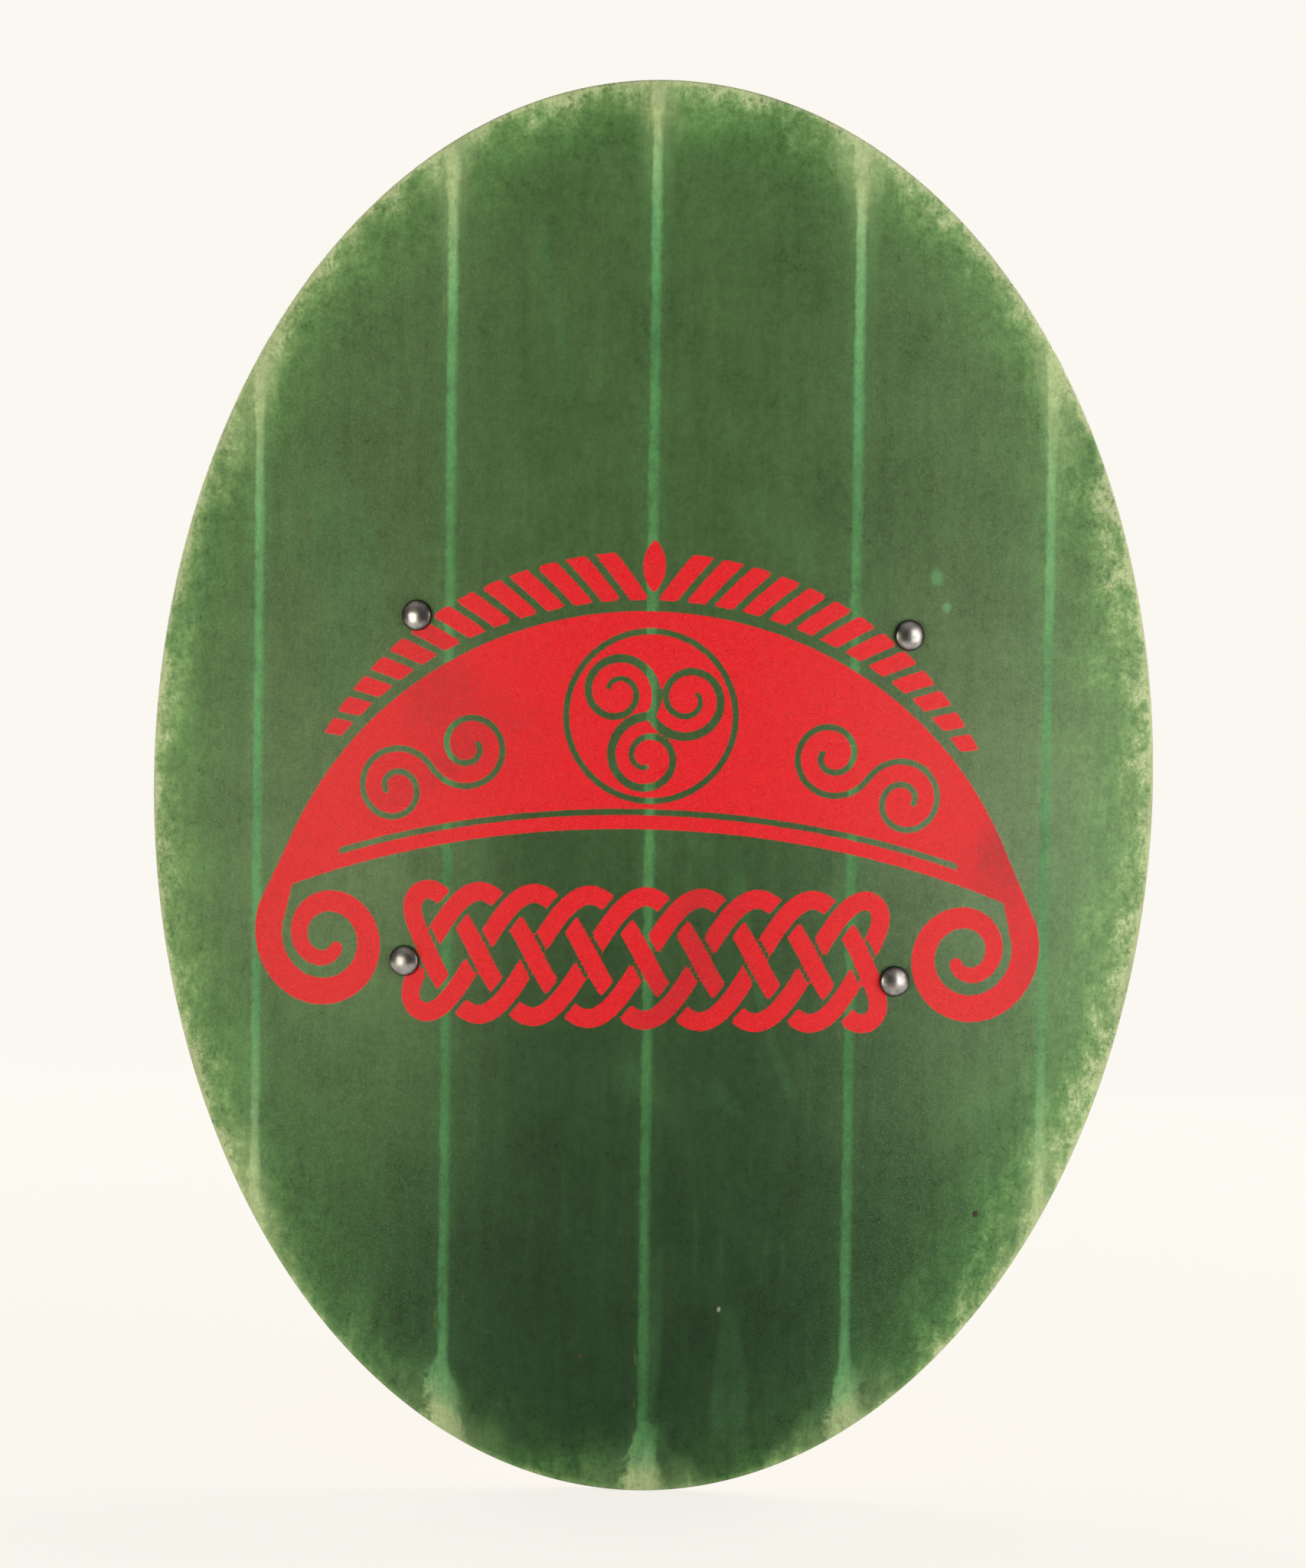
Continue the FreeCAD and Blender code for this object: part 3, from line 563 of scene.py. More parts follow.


# The stain as layers over one another: tone with a painted sheen on both sides, worn rim, plank lines,
# figure and grain with painted glints, marks, print.
def makeStainedFace():
    net = startMaterial("stainedFace")
    place = net.attribute("flatPlace", "Vector")
    rim = net.attribute("rimDistance")
    ink = net.attribute("printEdge")
    wall = net.attribute("wallDepth")
    across, up, _ = net.parts(place)
    side = net.size(across)
    wood = net.group(woodGrain, Place=place, Fibre=1150.0, Stretch=0.07, Figure=7.0)
    wear = net.group(surfaceWear, Place=place, Patch=34.0, Speckle=1900.0)
    cloud = net.noise(place, 11.0, 3.0, 0.5, 0.5)
    blotch = net.noise(net.scaled(place, 1.0, 0.7), 75.0, 3.0, 0.6, 0.3)
    mottle = net.noise(net.scaled(place, 1.0, 0.8), 260.0, 6.0, 0.78, 0.2)
    grit = net.noise(place, 640.0, 4.0, 0.8)
    streaky = net.noise(net.scaled(place, 1.0, 0.12), 190.0, 3.0, 0.6)

    # darker towards the foot of the board, and paler on both sides in a band below its middle: painted
    # sheen, the side lamps' glare painted into the colour
    height = net.ease(net.plus(up, net.around(cloud, 0.05)), -0.25, 0.23)
    base = net.steps(height, stain["tones"])
    sides = net.ease(side, 0.02, 0.12)
    sheenBelt = net.times(net.ease(up, -0.2, -0.11, 0.25, 1.0), net.ease(up, -0.06, 0.12, 1.0, 0.15))
    # painted sheen on the left and on the right side
    left = net.times(sheenBelt, net.ease(up, -0.07, 0.04, 1.0, 0.6), net.fade(across, -0.11, -0.03))
    right = net.times(sheenBelt, net.ease(across, 0.03, 0.16))
    base = net.blend(left, base, stain["leftSheenTint"], "MULTIPLY")
    base = net.blend(right, base, stain["rightSheenTint"], "MULTIPLY")
    foot = net.fade(up, -0.235, -0.12)

    # the rim: the stain thins by a steady share with every mm, in ragged patches
    leftReach, middleReach, rightReach = stain["rimReach"]
    reach = net.ease(across, -0.16, -0.06, leftReach, middleReach)
    wider = net.ease(up, 0.08, 0.15, rightReach - middleReach, 0.0)
    reach = net.plus(reach, net.times(foot, -3.0), net.times(wider, net.ease(across, 0.03, 0.17)))
    cloudy = net.times(net.around(blotch, 1.0), net.ease(across, 0.08, 0.15, 28.0, 48.0))
    ragged = net.plus(net.around(mottle, 15.0), cloudy, net.around(grit, 7.0))
    inwards = net.plus(rim, 0.6, ragged, net.times(foot, 8.0))
    thin = net.sum("EXPONENT", net.sum("DIVIDE", inwards, net.times(reach, -1.0)), clamp=True)
    mottled = net.plus(1.0, net.around(mottle, 3.0), net.around(grit, 1.2))
    thin = net.sum("MULTIPLY_ADD", thin, mottled, net.ease(rim, 0.4, 2.6, 0.22, 0.0), clamp=True)
    colour = net.blend(thin, base, net.steps(thin, stain["thinning"]))

    # the five plank lines: crisp on their left, soft on their right, and towards the rim paler and
    # wider. Offset is the distance in mm from the nearest line's middle.
    turns = net.straight(up, stain["lineSkew"] * 1000, stain["lineShift"])
    turns = net.sum("DIVIDE", net.straight(across, 1000.0, turns), stain["linePitch"])
    offset = net.times(net.less(turns, net.sum("ROUND", turns)), stain["linePitch"])
    wander = net.noise(net.scaled(place, 1.0, 0.4), 420.0, 4.0, 0.65)
    offset = net.plus(offset, net.around(wander, 2.2))
    lineRim = net.times(rim, net.ease(side, 0.1, 0.135, 1.0, 1.55))
    nearRim = net.plus(lineRim, net.around(blotch, 40.0))
    flare = net.times(net.fade(nearRim, 1.0, 24.0), net.ease(foot, 0.0, 1.0, 1.1, 3.0))
    narrow = net.sum("DIVIDE", offset, net.plus(flare, 1.0))
    narrow = net.straight(flare, net.around(mottle, 1.6), narrow)
    core = net.times(net.ease(narrow, -2.4, -0.6), net.fade(narrow, 0.5, 3.4))
    haze = net.fade(net.plus(net.size(narrow), net.around(mottle, 5.0)), 1.0, 8.0)
    haze = net.times(haze, net.ease(nearRim, 2.0, 46.0, 0.45, 0.12), net.ease(foot, 0.0, 1.0, 1.0, 0.4))
    patchy = net.plus(net.around(blotch, 1.2), net.around(wander, 1.0))
    line = net.times(
        net.larger(core, haze), net.ease(across, 0.1, 0.135, 1.0, 0.88),
        net.sum("ADD", patchy, 0.98, clamp=True),
    )
    along = net.plus(lineRim, net.around(cloud, 30.0), net.times(foot, rim, 1.6))
    lineColour = net.steps(net.sum("DIVIDE", along, stain["lineReach"]), stain["lineTones"])
    darker = net.times(net.fade(up, -0.2, 0.1), net.ease(rim, 6.0, 34.0))
    lineColour = net.blend(darker, lineColour, stain["lineFoot"], "MULTIPLY")
    colour = net.blend(line, colour, lineColour)
    sliver = net.times(
        net.fade(net.size(net.plus(offset, 2.6)), 0.1, 1.0),
        net.ease(streaky, 0.5, 0.6), net.ease(mottle, 0.4, 0.55),
        net.ease(rim, 34.0, 80.0, 0.7, 0.0), net.ease(side, 0.02, 0.05, 1.0, 0.2),
    )
    colour = net.blend(sliver, colour, stain["sliver"])

    # figure, grain and small marks in the stain, and pale specks that are painted glints towards the sides
    figure = net.times(wood["Figure"], net.ease(cloud, 0.46, 0.6), 0.24)
    figure = net.larger(figure, net.ease(blotch, 0.6, 0.78, 0.0, 0.12))
    figure = net.larger(figure, net.ease(streaky, 0.58, 0.8, 0.0, 0.14))
    colour = net.blend(figure, colour, stain["figure"])
    tone = net.plus(
        1.0, net.around(wood["Streaks"], 0.4), net.around(streaky, 0.32),
        net.around(wear["Patches"], 0.6), net.around(mottle, 0.8), net.around(grit, 0.7),
    )
    colour = net.blend(1.0, colour, stain["veil"], "ADD")
    colour = net.shade(colour, net.larger(tone, stain["darkest"]))
    colour = net.blend(1.0, colour, stain["veil"], "SUBTRACT")
    # pale specks, faint everywhere and stronger towards the sides, where they are painted glints
    specks = net.ease(wear["Speckle"], 0.6, 0.9)
    colour = net.blend(net.times(specks, net.straight(sides, 0.28, 0.02)), colour, stain["grainAndGlint"])
    colour = net.blend(net.times(wood["Pores"], 0.25), colour, stain["pore"])
    for middle, radius, long, markColour, share in stainMarks:
        middle = (middle[0] / 1000, middle[1] / 1000, 0.0)
        mark = net.group(smallMark, Place=place, Middle=middle, Radius=radius / 1000, Long=long)[0]
        colour = net.blend(net.times(mark, share), colour, markColour)

    # the print, thin enough to show the wood's texture
    inked = net.fade(net.plus(ink, net.around(wear["Speckle"], 0.5)), -0.16, 0.16)
    dull = net.ease(net.plus(net.times(mottle, 0.5), net.times(cloud, 0.9)), 0.72, 0.98)
    red = net.blend(dull, stain["red"], stain["redDull"])
    red = net.shade(red, net.plus(1.0, net.around(grit, 0.5), net.around(mottle, 0.42)))
    # paler red towards the sides is painted sheen, with pale specks over all of the print
    red = net.blend(net.plus(net.times(sides, 0.04), net.times(specks, 0.09)), red, stain["redSheenAndSpecks"])
    colour = net.blend(inked, colour, red)

    # the ply's own edge, where the stain only soaked in here and there
    bareEdge = net.ease(net.plus(wall, net.around(mottle, 0.9)), 0.2, 0.5)
    edge = net.blend(net.ease(wood["Streaks"], 0.35, 0.65), stain["edge"], stain["edgeDark"])
    colour = net.blend(bareEdge, colour, edge)

    rough = net.plus(
        net.around(wear["Patches"], 0.18), net.around(mottle, 0.45),
        net.times(inked, -0.03), net.times(bareEdge, 0.3), stain["roughness"],
    )
    relief = net.plus(
        net.times(wood["Height"], 0.3), net.times(wear["Speckle"], 1.1),
        net.times(inked, 0.3), net.times(grit, 0.9),
    )
    net.shader.inputs["Specular IOR Level"].default_value = stain["specular"]
    return net.finish(colour, rough, relief, stain["relief"])


plain = {
    "pale": paint(214, 184, 142),
    "brown": paint(197, 163, 120),
    "line": paint(158, 118, 78),
    "pore": paint(120, 84, 54),
    "bleed": paint(96, 122, 66),  # the green that came over the rim
    "roughness": 0.45,
}


def makePlainBack():
    net = startMaterial("plainBack")
    place = net.attribute("flatPlace", "Vector")
    rim = net.attribute("rimDistance")
    wood = net.group(woodGrain, Place=place, Fibre=1100.0, Stretch=0.035, Figure=5.0)
    wear = net.group(surfaceWear, Place=place, Patch=14.0, Speckle=900.0)
    colour = net.blend(net.ease(wear["Patches"], 0.3, 0.72), plain["pale"], plain["brown"])
    colour = net.blend(net.times(wood["Figure"], 0.42), colour, plain["line"])
    colour = net.blend(net.ease(wood["Streaks"], 0.42, 0.68, 0.0, 0.38), colour, plain["line"])
    colour = net.blend(net.times(wood["Pores"], 0.4), colour, plain["pore"])
    soaked = net.plus(rim, net.times(net.noise(place, 120.0, 3.0, 0.6), 9.0))
    colour = net.blend(net.times(net.fade(soaked, 3.4, 5.6), 0.65), colour, plain["bleed"])
    rough = net.straight(wood["Streaks"], 0.2, plain["roughness"])
    return net.finish(colour, rough, wood["Height"], 0.00006, 0.6)


plyEdges = {
    "cross": (paint(150, 108, 74), paint(104, 70, 46), 0.7),  # light, dark, stretch of the fibres
    "long": (paint(196, 154, 108), paint(160, 118, 78), 0.06),
    "bleed": paint(104, 112, 66),
    "roughness": 0.6,
}


# A ply seen at its edge. Long plies show their fibres, cross plies the ends of theirs.
def makePlyEdge(kind):
    net = startMaterial(kind + "PlyEdge")
    light, dark, stretch = plyEdges[kind]
    place = net.coordinates()
    turned = net.mapped(place, (math.radians(90), 0.0, 0.0))
    wood = net.group(woodGrain, Place=turned, Fibre=2100.0, Stretch=stretch, Figure=14.0)
    wear = net.group(surfaceWear, Place=place, Patch=60.0, Speckle=2600.0)
    colour = net.blend(net.ease(wood["Streaks"], 0.36, 0.66), light, dark)
    colour = net.blend(net.ease(wear["Speckle"], 0.5, 0.75, 0.0, 0.4), colour, dark)
    colour = net.blend(net.ease(wear["Patches"], 0.56, 0.7, 0.0, 0.5), colour, plyEdges["bleed"])
    rough = net.straight(wood["Streaks"], 0.2, plyEdges["roughness"])
    return net.finish(colour, rough, wood["Height"], 0.00008, 0.7)


leather = {
    "brown": paint(126, 78, 46),
    "dark": paint(84, 48, 27),
    # dark: the dyed sides and the pressed line, and painted shade round each cap
    "edge": paint(48, 28, 18),
    "flesh": paint(152, 112, 78),
    "roughness": 0.38,
    "crease": 3.2,  # mm from the strap's side to the pressed line
}


# Grain with pebbles, wrinkles at the folds, a pressed line along both sides and a ring of painted shade
# round each cap, rough flesh below.
def makeLeather():
    net = startMaterial("strapLeather")
    place = net.coordinates()
    strap = net.attribute("strapPlace", "Vector")
    outside = net.parts(strap)[2]
    toSide = net.attribute("sideDistance")
    fold = net.attribute("foldShare")
    toCap = net.attribute("capDistance")
    wear = net.group(surfaceWear, Place=place, Patch=42.0, Speckle=2200.0)
    pebble = net.ease(net.walls(place, 1050.0), 0.0, 0.22)
    wrinkle = net.noise(net.scaled(strap, 110.0, 900.0), 1.0, 3.0, 0.6, 0.8)
    crease = net.fade(net.size(net.less(toSide, leather["crease"])), 0.0, 0.55)
    grainSide = net.ease(outside, 0.4, 0.9)
    colour = net.blend(net.ease(wear["Patches"], 0.34, 0.68), leather["brown"], leather["dark"])
    colour = net.blend(net.ease(pebble, 0.0, 0.6, 0.4, 0.0), colour, leather["dark"])
    colour = net.blend(net.times(net.ease(wrinkle, 0.5, 0.62), fold, 0.5), colour, leather["flesh"])
    fibres = net.noise(place, 1500.0, 4.0, 0.7)
    flesh = net.blend(net.ease(fibres, 0.35, 0.65), leather["flesh"], leather["brown"])
    colour = net.blend(grainSide, flesh, colour)
    # darker at the pressed line, along the sides and round each cap; the ring round each cap is painted
    # shade where the cap presses into the leather
    for share in (net.times(crease, grainSide, 0.7), net.ease(toSide, 0.4, 1.5, 0.9, 0.0),
                  net.ease(toCap, 5.4, 8.0, 0.6, 0.0)):
        colour = net.blend(share, colour, leather["edge"])
    rough = net.plus(
        net.times(wear["Patches"], 0.22), net.ease(toSide, 0.4, 1.5, -0.14, 0.0),
        net.ease(outside, 0.4, 0.9, 0.32, 0.0), leather["roughness"],
    )
    wrinkled = net.times(net.ease(wrinkle, 0.48, 0.64), net.straight(fold, -1.3, -0.12))
    height = net.plus(
        net.times(pebble, 0.35), net.times(wear["Speckle"], 0.15), net.times(crease, -1.6), wrinkled,
        net.ease(toCap, 5.0, 7.4, -1.4, 0.0),
    )
    return net.finish(colour, rough, net.blend(grainSide, fibres, height), 0.00016, 0.8)


metal = {
    "nickel": paint(172, 168, 165),
    "nickelDark": paint(126, 121, 118),
    "steel": paint(150, 150, 152),
    "paintedFootShade": paint(44, 41, 39),  # painted shade and dark reflection, in a ring round the foot of each cap
    "roughness": 0.22,
    "steelRoughness": 0.27,
}


def makeMetal(name, bright, roughness, patch):
    net = startMaterial(name)
    wear = net.group(surfaceWear, Place=net.coordinates(), Patch=patch, Speckle=3800.0)
    colour = net.blend(net.ease(wear["Patches"], 0.35, 0.7), bright, metal["nickelDark"])
    colour = net.blend(net.times(wear["Scratches"], 0.25), colour, bright)
    footShare = net.plus(net.attribute("footShare"), net.around(wear["Patches"], 0.1))
    # a painted dark ring at the foot of each cap: shade and the dark room reflected in its steep skirt,
    # painted into the colour
    colour = net.blend(net.ease(footShare, 0.7, 0.97, 0.0, 0.85), colour, metal["paintedFootShade"])
    rough = net.plus(
        net.times(wear["Patches"], 0.1), net.times(wear["Scratches"], 0.12),
        net.times(wear["Speckle"], 0.04), roughness,
    )
    height = net.plus(wear["Patches"], net.times(wear["Scratches"], -0.08))
    net.shader.inputs["Metallic"].default_value = 1.0
    return net.finish(colour, rough, height, 0.00008, 0.5)


stainedFace = makeStainedFace()
plainBack = makePlainBack()
crossEdge, longEdge = makePlyEdge("cross"), makePlyEdge("long")
strapLeather = makeLeather()
darkNickel = makeMetal("darkNickel", metal["nickel"], metal["roughness"], 260.0)
plainSteel = makeMetal("plainSteel", metal["steel"], metal["steelRoughness"], 120.0)
print("materials made")


facePly, arc, up, wall = makePly(
    "facePly", 0.0, board["plyThick"], *plyNet["face"],
    "stained_face", stainedFace, ["face_ply"],
)
farAway = ornament["farAway"]
printEdge = np.full(arc.shape, farAway)
onFace = (wall <= 0) & (np.abs(arc) < ornament["room"][0]) & (np.abs(up) < ornament["room"][1])
printEdge[onFace] = ornamentField(arc[onFace], up[onFace])
setAttribute(facePly, "printEdge", np.clip(printEdge, -farAway, farAway))
print("face ply and its ornament made")

makePly(
    "backPly", board["thick"], board["thick"] - board["plyThick"], *plyNet["back"],
    "plain_back", plainBack, ["back_ply"],
)
for name in ("front_crossband", "rear_crossband"):
    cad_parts[name].data.materials[0] = crossEdge
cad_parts["core_ply"].data.materials[0] = longEdge
print("back ply made, inner plies finished")


# The place on the front face where a strap crosses, and the three ways of its own frame.
def fixtureFrame(side):
    reach = board["strapPitch"] / 2 * side
    turn = math.radians(board["patternTurn"])
    swing = (board["patternRight"] + reach * math.cos(turn)) / board["bendRadius"]
    height = -board["patternDown"] - reach * math.sin(turn)
    radius = board["bendRadius"]
    depth = radius - radius * math.cos(swing)
    spot = Vector((middleX + radius * math.sin(swing), frontY + depth, middleZ + height))
    return Matrix.Translation(spot) @ Matrix.Rotation(swing, 4, "Z") @ Matrix.Rotation(turn, 4, "Y")


def placed(points, place):
    turn = np.array(place)
    return points @ turn[:3, :3].T + turn[:3, 3]


cap = {
    "radius": 5.5,
    "height": 3.2,
    "skirt": 0.7,
    "shoulder": 1.5,
    "wall": 0.4,
    "lip": 1.2,
    "rimRoll": 0.3,
    "sides": 84,
    "steps": (16, 12, 4, 8),  # points on the crown, shoulder, foot and inner crown
}


# A cap: a profile turned about its axis. The crown is an arc centred on the axis and tangent to
# the shoulder's arc, then a straight skirt, a foot turned under, and the same inside.
def makeCap(name, place, outwards, stands):
    c = cap
    across, drop = c["radius"] - c["shoulder"], c["height"] - c["skirt"]
    crown = (across**2 + drop**2 - c["shoulder"] ** 2) / (drop - c["shoulder"]) / 2
    tilt = math.asin(across / (crown - c["shoulder"]))
    onCrown, onShoulder, onFoot, onInner = c["steps"]
    a, b = np.linspace(0.0, tilt, onCrown), np.linspace(tilt, math.pi / 2, onShoulder)[1:]
    rim = np.linspace(0, math.pi / 2, onFoot)
    roll, lip = c["rimRoll"], c["radius"] - c["lip"]
    inner, innerCrown = c["radius"] - c["wall"], crown - c["wall"]
    d = np.linspace(math.asin(across / innerCrown), 0.0, onInner)
    profile = np.concatenate([
        np.stack([crown * np.sin(a), c["height"] - crown + crown * np.cos(a)], 1),
        np.stack([across + c["shoulder"] * np.sin(b), c["skirt"] + c["shoulder"] * np.cos(b)], 1),
        np.stack([c["radius"] - roll + roll * np.cos(rim), roll - roll * np.sin(rim)], 1),
        [[lip, 0.0], [lip, c["wall"]], [inner, c["wall"]], [inner, c["skirt"]]],
        np.stack([innerCrown * np.sin(d), c["height"] - crown + innerCrown * np.cos(d)], 1),
    ])
    profile = profile[1:-1]                    # the two poles are single points
    rows, sides = len(profile), c["sides"]
    angle = np.linspace(0, 2 * np.pi, sides, endpoint=False)
    r, h = profile[:, :1], profile[:, 1:]
    points = np.stack([r * np.cos(angle), outwards * (h + 0 * angle), r * np.sin(angle)], 2).reshape(-1, 3)
    poles = np.array([[0, outwards * c["height"], 0], [0, outwards * (c["height"] - c["wall"]), 0]])
    ends = []
    for first, pole, way in ((0, rows * sides, 1), ((rows - 1) * sides, rows * sides + 1, -1)):
        ring = first + np.arange(sides)
        ends.append(np.stack([ring, np.full(sides, pole), np.roll(ring, -1)], 1)[:, ::way])
    faces = [netFaces(rows, sides, closed=True), ends[0], ends[1]]
    if outwards > 0:
        faces = [part[:, ::-1] for part in faces]
    points = np.vstack([points, poles])
    piece = makePiece(name, placed(points, place), faces, darkNickel, stands, 60)
    setAttribute(piece, "footShare", np.hypot(points[:, 0], points[:, 2]) / c["radius"])


strapSize = {
    "width": 28.0,
    "thick": 3.0,
    "end": 14.0,  # past the rivet, to the tip
    "tipRound": 11.0,
    "edgeRound": 1.15,
    "foldIn": 11.5,  # from the rivet to where the strap leaves the board
    "foldRadius": 12.0,
    "seat": 28.0**2 / (8 * 414.0) + 0.05,  # the hollow that the flat end spans, and its play
    "crown": 0.18,  # how much thicker the middle of the strap is on its grain side
    "spacing": 0.8,
    "grip": {"rise": 38.0, "lean": 55.0},  # lean in degrees
    "loop": {"rise": 52.0, "lean": 76.0},
}


# A strap: its middle line runs flat, folds up, climbs straight and arches over, and the same
# backwards. A section with round edges is carried along it, narrower towards the round tips.
def makeStrap(name, place, stands, rise, lean):
    s = strapSize
    halfThick, halfWidth = s["thick"] / 2, s["width"] / 2
    end, foot = board["rivetPitch"] / 2 + s["end"], board["rivetPitch"] / 2 - s["foldIn"]
    lean = math.radians(lean)
    fold = s["foldRadius"] + halfThick
    crown = (foot * math.sin(lean) - rise * math.cos(lean)) / (1 - math.cos(lean)) - fold
    # lengths of the four runs of one half, from the tip
    flat = end - foot
    climb = (foot - (fold + crown) * math.sin(lean)) / math.cos(lean)
    runs = np.cumsum([0.0, flat, fold * lean, climb, crown * lean])
    tip = s["tipRound"] * (1 - np.cos(np.linspace(0, math.pi / 2, 16)))
    rest = np.linspace(s["tipRound"], runs[-1], int((runs[-1] - s["tipRound"]) / s["spacing"]))
    along = np.concatenate([tip, rest[1:]])
    # heading away from the flat at each length, then the place as the sum of small steps
    dense = np.linspace(0, runs[-1], 4001)
    heading = np.interp(dense, runs, [0.0, 0.0, lean, lean, 0.0])
    step = dense[1]
    away = (np.cumsum(np.sin(heading)) - np.sin(heading)) * step
    level = (np.cumsum(np.cos(heading)) - np.cos(heading)) * step - end

    def bothHalves(run, hand=1):
        return np.concatenate([run, hand * run[-2::-1]])[:, None]

    lineZ = bothHalves(np.interp(along, dense, level), -1)
    lineY = bothHalves(np.interp(along, dense, away))
    lineTurn = bothHalves(np.interp(along, dense, heading), -1)
    fromTip = bothHalves(along)
    whole = np.concatenate([along, 2 * runs[-1] - along[-2::-1]])[:, None]
    # half width and half thickness along the strap
    inTip = np.clip(s["tipRound"] - fromTip, 0, None)
    wide = halfWidth - s["tipRound"] + np.sqrt(s["tipRound"] ** 2 - inTip**2)
    corner = s["edgeRound"]
    thick = halfThick - corner + np.sqrt(corner**2 - np.clip(corner - fromTip, 0, None) ** 2)
    # half a turn round the section, flat face and two quarter edges, then the same reversed
    quarter, flatFace = np.linspace(0, math.pi / 2, 5), np.linspace(1, -1, 15)[1:-1]
    sideRun, faceRun = np.ones(quarter.size), np.ones(flatFace.size)
    signX, signY, outX, outY = (np.concatenate([*half, *(-run for run in half)]) for half in (
        (sideRun, flatFace, -sideRun),
        (sideRun, faceRun, sideRun),
        (np.cos(quarter), faceRun * 0, -np.sin(quarter)),
        (np.sin(quarter), faceRun, np.cos(quarter)),
    ))
    r = np.minimum(corner, thick)
    x = signX * (wide - r) + outX * r
    n = signY * (thick - r) + outY * r
    dome = s["crown"] * (1 - (x / halfWidth) ** 2) * (signY > 0) * np.clip(fromTip / 8, 0, 1)
    n = n + dome * np.clip((np.abs(np.abs(lineZ) - board["rivetPitch"] / 2) - 7) / 8, 0, 1)
    y = halfThick + lineY + n * np.cos(lineTurn)
    z = lineZ - n * np.sin(lineTurn)
    points = np.stack([x, board["thick"] + s["seat"] + y, z], 2).reshape(-1, 3)
    rows, columns = x.shape
    ring = np.arange(columns)[None, :]
    faces = [netFaces(rows, columns, closed=True), ring[:, ::-1], ring + (rows - 1) * columns]
    piece = makePiece(name, placed(points, place), faces, strapLeather, stands, 70)
    ones = np.ones(x.shape)
    strapPlace = np.stack([x / 1000, whole * ones / 1000, (signY > 0) * ones], 2)
    setAttribute(piece, "strapPlace", strapPlace)
    setAttribute(piece, "sideDistance", np.minimum(wide - np.abs(x), fromTip))
    inFold = np.interp(fromTip, [runs[1] - 6, runs[1] + 2, runs[2] - 2, runs[2] + 6], [0, 1, 1, 0])
    setAttribute(piece, "foldShare", inFold * ones)
    gap = np.hypot(x, np.abs(lineZ) - board["rivetPitch"] / 2)
    setAttribute(piece, "capDistance", np.where(lineY < 0.5, gap, 40.0))


strapBack = board["thick"] + strapSize["seat"] + strapSize["thick"]
for strapName, node, side in (("grip", "hand_grip", -1), ("loop", "arm_loop", 1)):
    spot = fixtureFrame(side)
    makeStrap(strapName + "Strap", spot, [node], **strapSize[strapName])
    for end, way in (("lower", -1), ("upper", 1)):
        along = board["rivetPitch"] / 2 * way
        for face, depth, outwards in (("front", 0.0, -1), ("rear", strapBack, 1)):
            capName = f"{strapName}{end.title()}{face.title()}Cap"
            capPlace = spot @ Matrix.Translation((0, depth, along))
            makeCap(capName, capPlace, outwards, [f"{strapName}_{end}_{face}_cap"])
        for part in ("post", "socket"):
            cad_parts[f"{strapName}_{end}_{part}"].data.materials[0] = plainSteel
print("straps and rivets made")


studio = {
    "pale": paint(251, 248, 241),
    "floorRadius": 1.1,  # metres
    "floorMiddle": (0.08, 0.45),
    "floorGap": 0.0005,
    "shadow": 0.14,  # how much of the floor's own shading shows, less towards its border
    "ambient": 0.28,
    "front": (0.04, 0.5),  # what polished things see in front: level, and more from above
    "softboxes": [
        # name, place (metres from the board's middle), size, watts, colour
        ("leftSoftbox", (-0.83, -1.0, -0.16), (0.62, 0.7), 7.9, (1.0, 0.98, 0.82)),
        ("rightSoftbox", (1.04, -0.83, 0.02), (0.8, 1.1), 10.0, (1.0, 1.0, 0.94)),
        ("rearLeftSoftbox", (-1.5, 1.3, 0.9), (1.0, 1.0), 28.0, (1.0, 1.0, 1.0)),
        ("rearRightSoftbox", (1.6, 1.2, 0.9), (1.0, 1.0), 32.0, (1.0, 1.0, 1.0)),
    ],
}


# A round pale floor. Its border fades into the world, which has the same pale tone.
def makeFloor():
    net = startMaterial("paleFloor")
    tree = net.tree
    tree.nodes.remove(net.shader)
    path = net.add("LightPath").outputs
    seen = net.larger(path["Is Camera Ray"], net.larger(path["Is Glossy Ray"], path["Is Transmission Ray"]))
    (x, y), radius, low = studio["floorMiddle"], studio["floorRadius"], cadBox[0][2]
    away = net.vector("DISTANCE", net.coordinates(), (x, y, low))
    own = net.ease(away, radius * 0.35, radius * 0.95, studio["shadow"], 0.0)
    share = net.times(seen, net.less(1.0, own))
    matt = net.add("BsdfDiffuse", {"Color": studio["pale"]}).outputs[0]
    glow = net.add("Emission", {"Color": studio["pale"], "Strength": 1.0}).outputs[0]
    mix = net.add("MixShader", {0: share, 1: matt, 2: glow}).outputs[0]
    tree.links.new(mix, tree.nodes["Material Output"].inputs["Surface"])
    turn = np.linspace(0, 2 * np.pi, 96, endpoint=False)
    level = np.full(turn.shape, low - studio["floorGap"])
    points = np.stack([x + radius * np.cos(turn), y + radius * np.sin(turn), level], 1)
    mesh = bpy.data.meshes.new("paleFloor")
    mesh.from_pydata(points.tolist(), [], [list(range(len(turn)))])
    mesh.materials.append(net.material)
    addObject("paleFloor", mesh)


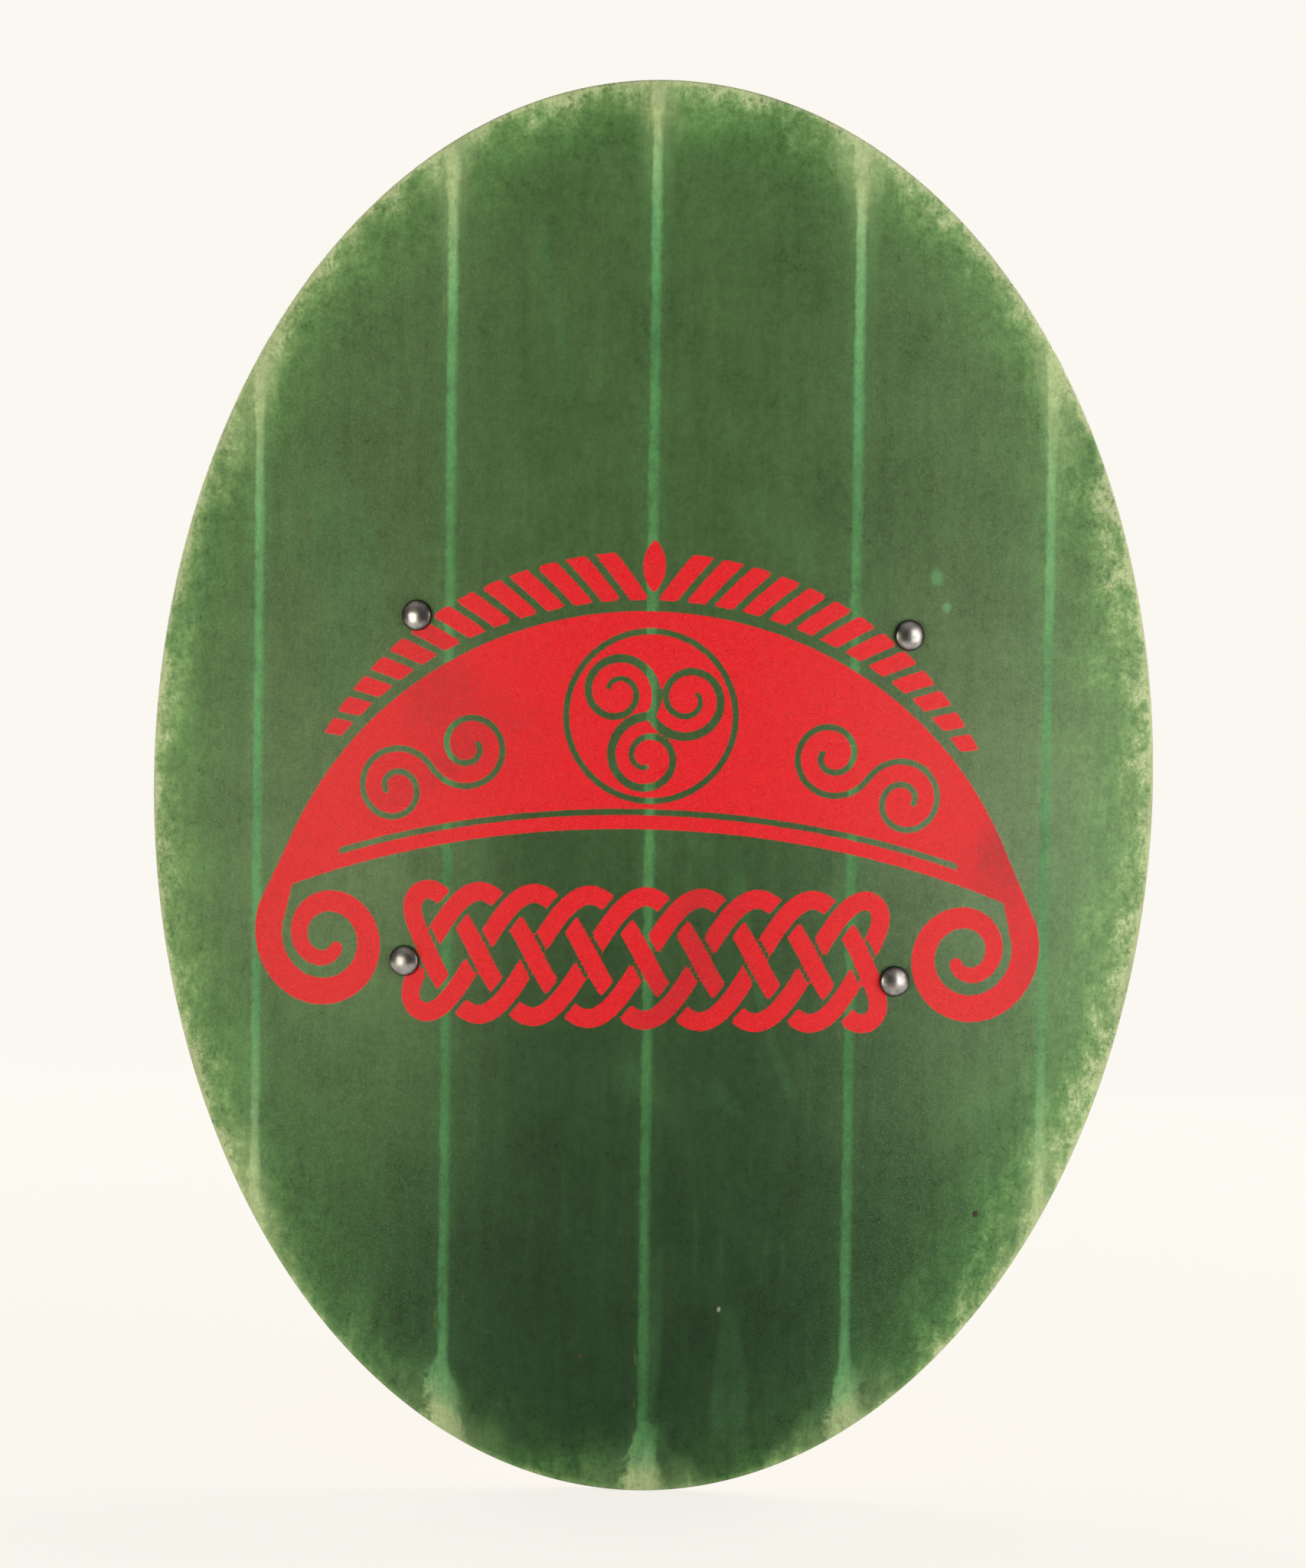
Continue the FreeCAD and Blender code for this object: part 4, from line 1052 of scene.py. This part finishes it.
# The world: pale to the camera, a room dark in front and pale behind to polished things, and an
# even soft level for the rest.
def makeWorld():
    world = bpy.data.worlds.new("studioRoom")
    bpy.context.scene.world = world
    world.use_nodes = True
    net = NodeNet(world.node_tree)
    room = world.node_tree.nodes["Background"]
    path = net.add("LightPath").outputs
    _, depth, height = net.parts(net.coordinates("Generated"))
    (front, above), ambient = studio["front"], studio["ambient"]
    reflected = net.straight(net.ease(height, 0.1, 0.9), above, front)
    reflected = net.larger(net.ease(depth, -0.1, 0.5), reflected)
    level = net.less(reflected, ambient)
    level = net.straight(path["Is Glossy Ray"], level, ambient)
    seen = net.larger(path["Is Camera Ray"], path["Is Transmission Ray"])
    level = net.straight(seen, net.less(1.0, level), level)
    net.feed(room.inputs["Color"], studio["pale"])
    net.feed(room.inputs["Strength"], level)


def makeLights():
    for name, place, size, watts, colour in studio["softboxes"]:
        light = bpy.data.lights.new(name, "AREA")
        light.shape = "RECTANGLE"
        light.size, light.size_y = size
        light.energy = watts
        light.color = colour
        lamp = addObject(name, light)
        lamp.location = apex + Vector(place)
        lamp.rotation_euler = (-Vector(place)).to_track_quat("-Z", "Y").to_euler()
        lamp.visible_camera = False


# the camera that sees the board as the photograph does, in millimetres and degrees
lens = {
    "distance": 1500.0,
    "focal": 5541.0 / 1706 * 36,
    "turn": (1.452, 3.59, -0.89),  # roll, pitch and yaw
    "right": 0.94,
    "up": 3.03,
}


def makeCamera():
    roll, pitch, yaw = (math.radians(angle) for angle in lens["turn"])
    turn = Matrix.Rotation(roll, 3, "Y") @ Matrix.Rotation(pitch, 3, "X") @ Matrix.Rotation(yaw, 3, "Z")
    place = apex + turn.transposed() @ Vector((lens["right"], -lens["distance"], lens["up"])) / 1000
    camera = bpy.data.cameras.new("studioCamera")
    camera.sensor_fit = "HORIZONTAL"
    camera.sensor_width = 36.0
    camera.lens = lens["focal"]
    camera.clip_start, camera.clip_end = 0.05, 100.0
    seat = addObject("studioCamera", camera)
    right, forward, up = turn  # its rows are the camera's ways
    seat.matrix_world = Matrix.Translation(place) @ Matrix((right, up, -forward)).transposed().to_4x4()
    bpy.context.scene.camera = seat


makeFloor()
makeWorld()
makeLights()
makeCamera()
bpy.context.scene.view_settings.view_transform = "Standard"
print("stage, lights and camera made")
